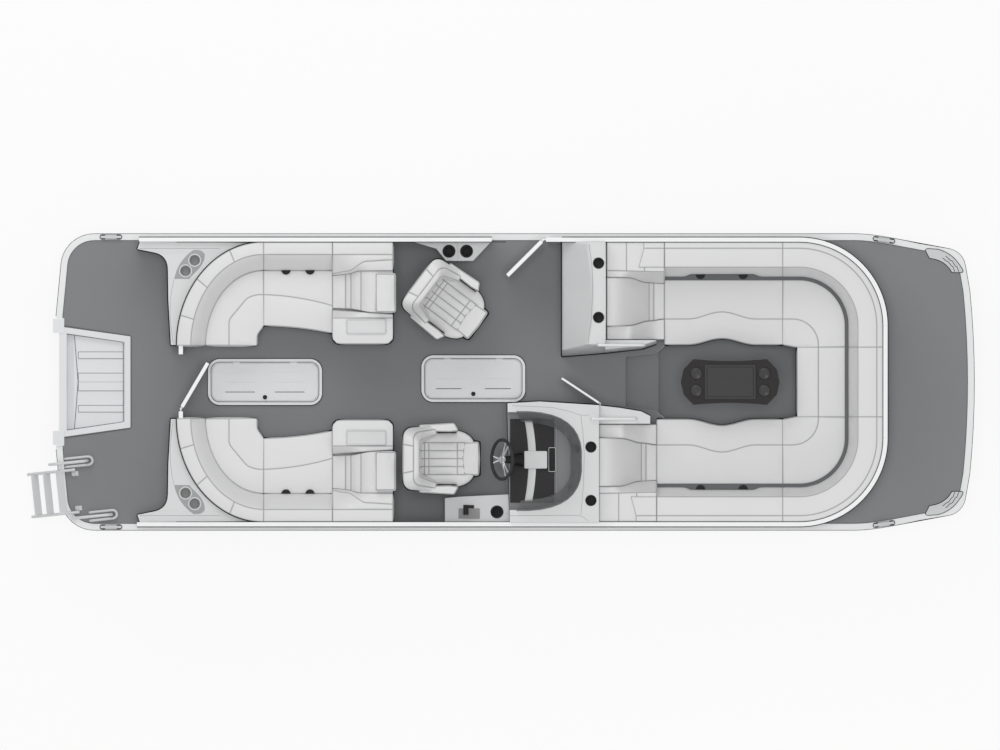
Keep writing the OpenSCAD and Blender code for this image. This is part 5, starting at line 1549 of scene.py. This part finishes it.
# %% One chair, at the helm: its back
helm_centre = np.array([at(-504)[0], -671 * mm])
chair_seat = deck_top + 520 * mm
chair_top = high("helm_chair").z
pan_z = chair_seat - 115 * mm
tip_z = chair_seat + 195 * mm
wrap_steps = 200
seat_at = lambda x, y: helm_centre + np.array([x * mm, y * mm])


def wrap(x_back, half, r, x_tip, half_tip, z_back, z_tip):
    """A rail from wing tip to wing tip round the back; height falls off smoothly along the wings."""
    plan = [[(x_tip, -half_tip), (x_back + r, -half)], arc((x_back + r, -half + r), r, r, 270, 180, 20),
            [(x_back, -half + r), (x_back, half - r)], arc((x_back + r, half - r), r, r, 180, 90, 20),
            [(x_back + r, half), (x_tip, half_tip)]]
    line = rail(*[np.array(p, float) for p in plan], n=wrap_steps // 5)
    step = np.arange(wrap_steps + 1)
    rise = smooth_step(np.clip(np.minimum(step, wrap_steps - step) / 85, 0, 1))
    return at_height(helm_centre + line * mm, z_tip + (z_back - z_tip) * rise)


back_rails = [
    wrap(-346, 262, 72, -82, 270, pan_z + 10 * mm, pan_z + 10 * mm),
    wrap(-351, 272, 78, -74, 286, chair_top - 26 * mm, tip_z - 18 * mm),
    wrap(-262, 238, 70, -70, 256, chair_top - 5 * mm, tip_z),
    wrap(-212, 176, 52, -62, 214, chair_top - 26 * mm, tip_z - 14 * mm),
    wrap(-196, 150, 40, -66, 206, chair_seat + 10 * mm, chair_seat + 10 * mm),
    wrap(-200, 155, 40, -70, 208, pan_z + 10 * mm, pan_z + 10 * mm)]
chair_seams = {0: (0, 3), 2: (0, 3), 3: (0, 1, 2, 3), 4: (0, 3), 5: (0, 3)}
chair_back = upright("helm_chair_back", *quilt(back_rails, [0, 12 * mm, 10 * mm, 8 * mm, 0, 0],
                                               [0, 87, 113, wrap_steps], chair_seams, step=18 * mm))
print("chair back:", len(chair_back.data.vertices), "points")


# %% Its seat
def chair_rail(knots, z):
    """A level rail through knots given in mm from the chair's axis."""
    return at_height(resample([seat_at(*k) for k in knots], rail_steps), z)


rib_z, lobe_z = chair_seat - 12 * mm, chair_seat - 26 * mm
lobe = [(-218, 236), (-60, 246), (60, 252), (130, 246), (190, 226), (235, 196), (262, 158)]
other_lobe = [(x, -y) for x, y in lobe]
seat_rails = [chair_rail(other_lobe, pan_z + 8 * mm), chair_rail(other_lobe, lobe_z)]
seat_rails += [chair_rail([(-215, y), (170, y), (262, y * 0.95)], rib_z) for y in (-140, -70, 0, 70, 140)]
seat_rails += [chair_rail(lobe, lobe_z), chair_rail(lobe, pan_z + 8 * mm)]
rib_puff, lobe_puff = 10 * mm, 20 * mm
rib_stops = [0, *[rail_steps * (x + 215) / 477 for x in (-165, -127, 122)], rail_steps]
chair_seat_pad = upright("helm_chair_seat", *quilt(
    seat_rails, [0, lobe_puff, *[rib_puff] * 4, lobe_puff, 0, 0], rib_stops,
    {0: (), 1: (), 6: (), 7: (), 8: ()}, step=16 * mm, ends=(3 * mm, 4 * mm)))
nose = resample(rounded_loop([seat_at(176, -143), seat_at(312, -149), seat_at(322, 0), seat_at(312, 149),
                              seat_at(176, 143), seat_at(160, 0)], 22 * mm), 96)[:-1]
chair_nose = upright("helm_chair_bolster",
                     *pad(nose, pan_z + 14 * mm, chair_seat - 2 * mm, soft=15 * mm, crown=10 * mm))
print("chair seat:", len(chair_seat_pad.data.vertices), "points")

# %% Its arms and pan, whose black rim paints the shade under the chair
arm_pads, struts = [], []
for hand, side in ((1, "port"), (-1, "starboard")):
    knots = [(-214, 240), (-214, 297), (96, 315), (136, 244), (60, 234)]
    shape = resample(rounded_loop([seat_at(x, hand * y) for x, y in knots], 16 * mm), 90)[:-1]
    arm_pads.append(upright(f"helm_chair_arm_{side}", *pad(
        shape, chair_seat + 142 * mm, chair_seat + 190 * mm, soft=10 * mm, crown=5 * mm, under=6 * mm)))
    struts.append(soft_slab(inset(shape, -5 * mm), chair_seat + 138 * mm, chair_seat + 146 * mm, top=2 * mm))
for hand in (1, -1):
    bar = np.array([seat_at(x, hand * y) for x, y in ((-52, 238), (-52, 222), (118, 224), (112, 240))])
    struts.append(soft_slab(resample(bar, 24)[:-1], pan_z - 2 * mm, chair_seat + 144 * mm, top=3 * mm))
# painted shade: the black pan's skirt reaches past the seat and back, so a dark rim stands for the shade under the
# chair
shade_skirt = np.concatenate([[(-358, 0)], arc((-280, -200), 78, 81, 180, 270, 10), [
    (-74, -293), (-66, -263), (60, -260), (132, -254), (194, -233), (240, -202), (270, -165), (314, -158),
    (329, -142), (329, 0)]])
shade_skirt = np.concatenate([shade_skirt, shade_skirt[::-1][1:] * (1, -1)]) * mm + helm_centre
struts.append(soft_slab(resample(shade_skirt, 160)[:-1], pan_z - 1 * mm, pan_z + 16 * mm, top=0, bottom=6 * mm))
hub_disc = np.array([(2, -13), (104, -13), (110, -8), (110, 2), (2, 2)]) * mm
struts.append(turned(hub_disc, (*helm_centre, pan_z)))
chair_pan = joined("helm_chair_pan", struts)
print("arms and pan:", len(struts), "hard shapes")

# %% [markdown]
# #### The companion's chair
# The other chair is the same chair turned 37 degrees, so each piece is copied with its points
# turned about the helm chair's axis and moved. Each chair's pieces ride on that chair's own body,
# so they swivel with it.

# %% The companion's copy
companion_centre, companion_turn = at(-450, 677), -37


def turned_copy(obj, name, centre, degrees):
    """A copy turned about the helm chair's axis and moved to another chair's centre."""
    copy = duplicate(obj, name)
    points = coordinates(copy.data).astype(float)
    c, s = math.cos(math.radians(degrees)), math.sin(math.radians(degrees))
    points[:, :2] = (points[:, :2] - helm_centre) @ np.array([[c, s], [-s, c]]) + centre
    copy.data.vertices.foreach_set("co", points.astype(np.float32).ravel())
    return copy


def both_chairs(obj, mat, fill=None):
    """Fits a piece of the helm's chair, blown up first if it is padded, and the companion's copy."""
    if fill:
        stuffed(obj, limit=7 * mm)
    fitted(obj, mat, "helm_chair", ["helm_chair"])
    other = turned_copy(obj, obj.name.replace("helm", "companion"), companion_centre, companion_turn)
    fitted(other, mat, "companion_chair", ["companion_chair"])


for piece in (chair_back, chair_seat_pad, chair_nose, *arm_pads):
    both_chairs(piece, vinyl_light, 0.85)
both_chairs(chair_pan, deep_black)
for node in ("helm_pedestal", "companion_pedestal", "table_post"):
    shaped(node, stainless, "bright_metal", 2 * mm)
print("two chairs")

# %% [markdown]
# ## Table, hatches and fittings
# The table is a charcoal slab with a glossy centre and four cup rings. Each ring is a turned
# profile with a black bead round it, and the centre panel is framed by two thin beads.

# %% Table
table_top = high("table").z
table_c = at(2006)
panel_l, panel_w = 449, 304
shaped("table", table_black, "table_top", 5 * mm)


def panel_line(grow):
    """Outline of the centre panel, grown by that many mm on its length and width."""
    return table_c + rounded_box((panel_l + grow) * mm, (panel_w + grow) * mm, 8 * mm)


panel = soft_slab(panel_line(0), table_top - 6 * mm, table_top - 2 * mm, top=1.5 * mm)
fitted(joined("table_panel", [panel]), table_panel)
table_cups = [table_c + (x * mm, y * mm) for x in (-297, 297) for y in (-75, 75)]
cup_profile = np.array([(41, -27), (45, -27), (45, 0.4), (50, 0.4), (52, 2), (49, 4), (44, 3.5), (41.5, 0)]) * mm
fitted(joined("table_cups", [turned(cup_profile, (*cup, table_top), n=40) for cup in table_cups], 60),
       table_panel)
cup_line = rounded_box(102 * mm, 102 * mm, 51 * mm, 8)[:-1]
trims = [welt(cup + cup_line, table_top + 1 * mm, 4.5 * mm, 8, closed=True) for cup in table_cups]
trims += [welt(panel_line(grow), table_top - 2 * mm, r * mm, 8, closed=True) for grow, r in ((6, 4), (-44, 2))]
fitted(joined("table_cup_rings", trims), deep_black)
print("table at", round(table_top, 3))

# %% [markdown]
# ### Floor hatches
# Each locker has a pale rim let into the floor and a lid with six grooves and a turn latch. The rim
# is sealed to the floor by a thin black ring, and a second ring lies outside the hole, where the
# opening lid doesn't touch it. Lid pieces ride on the hatch, rim pieces on the boat.

# %% Floor hatches
def hatch_pieces(which, groove_x, groove_l):
    """Lid, rim, two seals and the lid's grooves and latch, all placed from the rim's own box."""
    lid, rim = f"{which}_hatch", f"{which}_locker"
    shaped(lid, hatch_coat, "hatch", 2 * mm, lid, turn=40)
    shaped(rim, rim_white, "moulding", 3 * mm, turn=40)
    a, b = np.array(low(rim)), np.array(high(rim))
    middle, (length, width) = (a[:2] + b[:2]) / 2, (b - a)[:2]
    rim_line = middle + rounded_box(length, width, 100 * mm)
    hole_line = middle + rounded_box(length - 66 * mm, width - 66 * mm, 66 * mm)
    fitted(plate(f"{which}_floor_seal", [inset(rim_line, -6 * mm), inset(rim_line, 4 * mm)],
                 deck_top + 3 * mm, 3 * mm), rubber)
    fitted(plate(f"{which}_lid_seal", [inset(hole_line, -8 * mm), inset(hole_line, -3 * mm)],
                 b[2] + 0.7 * mm, 1.2 * mm, 0.3 * mm), rubber)
    groove = rounded_box(groove_l, 7 * mm, 3 * mm, 2)
    lines = [soft_slab(middle + (hand * groove_x, y * mm) + groove, deck_top + 20 * mm, deck_top + 21 * mm, top=0)
             for hand in (-1, 1) for y in (-88, 2, 91)]
    latch = np.array([(2, -4), (19, -4), (19, 1), (16, 3), (12, 3.5), (9, 1.5), (2, 1.5)]) * mm
    lines.append(turned(latch, (middle[0], middle[1] - 133 * mm, b[2]), n=36))
    fitted(joined(f"{which}_hatch_lines", lines), deep_black, lid)
    return lines


for which, groove_x, groove_l in (("aft", 230 * mm, 284 * mm), ("forward", 217 * mm, 229 * mm)):
    print(which, "hatch:", len(hatch_pieces(which, groove_x, groove_l)), "grooves and latch")

# %% [markdown]
# ### Fences, tubes and rails
# These solids already have the right shape, so they get soft edges and a finish. Tubes are turned
# shapes, whose edges need no rounding, only the weld.

# %% Fences, tubes and transom
for node in ("fence_port_stern", "fence_port_bow", "fence_starboard", "gate_posts"):
    shaped(node, fence_white, "fence", 5 * mm)
for gate in ("stern_gate", "side_gate", "bow_door"):
    shaped(gate, fence_white, "fence", 4 * mm, gate)
shaped("rub_rail", rail_metal, "rub_rail", 5 * mm)
for node in ("port_tube", "starboard_tube", "centre_tube", "motor_pod"):
    shaped(node, tube_metal, "tube_metal", 0)
for node in ("transom", "motor_well"):
    shaped(node, well_metal, "white_metal", 2.5 * mm)
print("fences and tubes done")

# %% [markdown]
# ### Cleats and corner castings
# Four cleats stand on oval rubber pads. Each bow corner carries one curved casting with two grooves,
# whose outline is five parabolas end to end, seated on rubber too.

# %% Cleats and castings
shaped("cleats", cast_metal, "bright_metal", 0)
cleats = [(stern + 480 * mm, half_beam - 26 * mm, 0), (bow - 789 * mm, half_beam - 52 * mm, 8)]
pads = []
for x, y, turn in cleats:
    for hand in (-1, 1):
        c, s = math.cos(math.radians(turn)), -hand * math.sin(math.radians(turn))
        oval_pad = rounded_box(198 * mm, 46 * mm, 22 * mm) @ np.array([(c, s), (-s, c)])
        pads.append(soft_slab(oval_pad + (x, hand * y), deck_top - 0.5 * mm, deck_top + 4 * mm, top=2 * mm))
fitted(joined("cleat_pads", pads), rubber)
casting = np.concatenate([
    bend(at(3716, 1152), at(3724, 1166), at(3742, 1164), 4), bend(at(3824, 1158), at(3930, 1128), at(3990, 1050), 10),
    bend(at(4017, 1013), at(4034, 990), at(4040, 972), 4), bend(at(4036, 962), at(3990, 958), at(3946, 962), 4),
    bend(at(3930, 990), at(3870, 1068), at(3768, 1082), 10), [at(3750, 1086)]])
castings = [casting, casting[::-1] * (1, -1)]
casting_seats = [soft_slab(inset(line, -6 * mm), deck_top - 0.5 * mm, deck_top + 5 * mm, top=2 * mm)
                 for line in castings]
fitted(joined("casting_seats", casting_seats), rubber)
fitted(joined("corner_castings", [soft_slab(line, deck_top, deck_top + 13 * mm, top=4 * mm) for line in castings]),
       cast_metal, nodes=["corner_castings"])
grooves = []
for knots in ([(3862, 1084), (3905, 1056), (3952, 1010), (3972, 966)],
              [(3890, 1098), (3940, 1062), (3985, 1010), (4008, 966)]):
    line = smooth_line(knots, deck_top + 12.6 * mm, place=at, n=30)
    grooves += [swept(line * (1, hand, 1), round_section(3 * mm, 8)) for hand in (1, -1)]
fitted(joined("casting_grooves", grooves), rubber)
print(len(pads), "cleat pads,", len(grooves), "grooves")

# %% [markdown]
# ### Ladder, frames and floor
# The boarding ladder swings on its own body and gets satin tube. The frames, the deck and the bow
# floor keep their plain solids and only take a material in place.

# %% Ladder, frames and floor
for node, body in (("ladder_brackets", "boat"), ("ladder_grab_rails", "boat"),
                   ("boarding_ladder", "boarding_ladder")):
    shaped(node, rung_metal, "bright_metal", 0, body)
for node, mat in (("cross_members", frame_metal), ("risers", frame_metal), ("deck", floor_weave),
                  ("bow_well", floor_weave)):
    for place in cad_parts[node].material_slots:
        place.material = mat
shaped("bow_seat_base", gel_coat, "moulding", 3 * mm)
print("ladder, frames and floor done")

# %% [markdown]
# ### Gaskets and rail inserts
# The rub rail carries a black rubber insert on its outer face and a bead along the floor's edge. A
# convex hull of the rail's own points gives the line, because the deck's outline bulges everywhere;
# the line is left open across the motor well.

# %% Lines round the deck
rail_points = coordinates(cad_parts["rub_rail"].data)
hull = rail_points[convex_hull_2d([Vector(p) for p in rail_points[:, :2].tolist()])][:, :2].astype(float)
hull = resample(np.concatenate([hull, hull[:1]]), 700)[:-1]
hull = np.roll(hull, -np.argmin(hull[:, 0] + np.abs(hull[:, 1]) * 0.4), axis=0)
at_well = (hull[:, 0] < stern + 60 * mm) & (np.abs(hull[:, 1]) < 560 * mm)
rail_z = (low("rub_rail").z + high("rub_rail").z) / 2
insert = arc((0, 0), 5 * mm, 14 * mm, 0, 360, 14)[:-1]
fitted(joined("rub_rail_insert", [swept(at_height(hull[~at_well], rail_z), insert)]), rubber)
floor_line = inset(hull, 57 * mm)[~at_well]
fitted(joined("floor_edge_bead", [welt(floor_line, deck_top + 1 * mm, 3.2 * mm, 8)]), graphite)
print("rail line:", len(floor_line), "points")

# %% [markdown]
# ### Fence seals
# The fence has a black seal along the cushions' outer edge, high up inside, and another where its
# outer face meets the deck. Both follow the fence's straights and its two quarter circles.

# %% Fence seals
in_y, out_y = cabin - 2 * mm, cabin + fence_t + 4 * mm
in_turn, out_turn = corner_turn(fence_r - 2 * mm), corner_turn(fence_r + fence_t + 4 * mm)
back_x = low("port_lounge_back").x
port_in = [(back_x, in_y), (low("side_gate").x, in_y)]
round_in = np.concatenate([[(console_aft, in_y)], in_turn, [(front_x - 2 * mm, -corner[1])],
                           (in_turn * (1, -1))[::-1], [(back_x, -in_y)]])
round_out = np.concatenate([[(console_aft, out_y)], out_turn, (out_turn * (1, -1))[::-1],
                            [(low("fence_starboard").x, -out_y)]])
port_out = [(low("fence_port_stern").x, out_y), (high("fence_port_stern").x, out_y)]
high_z, low_z = fence_top - 6 * mm, deck_top + 4 * mm
seal_lines = [(port_in, 60, high_z), (round_in, 500, high_z), (round_out, 500, low_z), (port_out, 40, low_z)]
fitted(joined("fence_seals", [welt(resample(line, n), z, 3.5 * mm, 8) for line, n, z in seal_lines]),
       rubber)
print(len(seal_lines), "fence seals")

# %% [markdown]
# ### Gaskets of the consoles and the motor well
# Black gaskets close the feet of both consoles, and thin graphite ones outline the motor well. The
# dark rims round the panels on its floor are painted shade: graphite slabs a little wider than each panel.

# %% Console gaskets, motor well seals and painted shade round its panels
console_foot = np.array([(coaming_end, 330 * mm), at(1245, 289), at(919, 252), (console_aft - 4 * mm, 219 * mm),
                         (console_aft - 4 * mm, cabin - 2 * mm)])
helm_foot = np.array([at(1306, -296), at(1225, -254), at(1041, -223), at(853, -201), at(866, -200),
                      at(341, -167), at(53, -183), at(73, -980)])
fitted(joined("console_gaskets", [welt(resample(line, 120), gasket_z) for line in (console_foot, helm_foot)]),
       rubber)
well_z = deck_top - 35 * mm
well_routes = [([(-3820, 490), (-3238, 403), (-3238, 0)], 60, deck_top + 4 * mm, 4 * mm),
               ([(-3797, 420), (-3304, 349), (-3304, 0)], 60, deck_top + 9 * mm, 3 * mm),
               ([(-3732, 410), (-3700, 0)], 30, well_z + 1 * mm, 3 * mm)]
well_seals_and_shade = [welt(resample([at(x, hand * y) for x, y in route], n), z, r)
              for route, n, z, r in well_routes for hand in (-1, 1)]
# painted shade: a graphite slab 9 mm wider than each panel shows as a dark rim round it
for y, w in ((-234, 54), (-38, 74), (38, 74), (234, 54)):
    outline = (at(-3698, y) + at(-3308, y)) / 2 + rounded_box(394 * mm, (w + 9) * mm, 3 * mm, 2)
    well_seals_and_shade.append(soft_slab(outline, well_z - 1 * mm, well_z + 2.5 * mm, top=1 * mm))
fitted(joined("motor_well_seals_and_shade", well_seals_and_shade), graphite)
print("lines laid")

# %% [markdown]
# ## Last update
# The view layer is brought up to date once more, after the last piece.

# %% View layer update
bpy.context.view_layer.update()
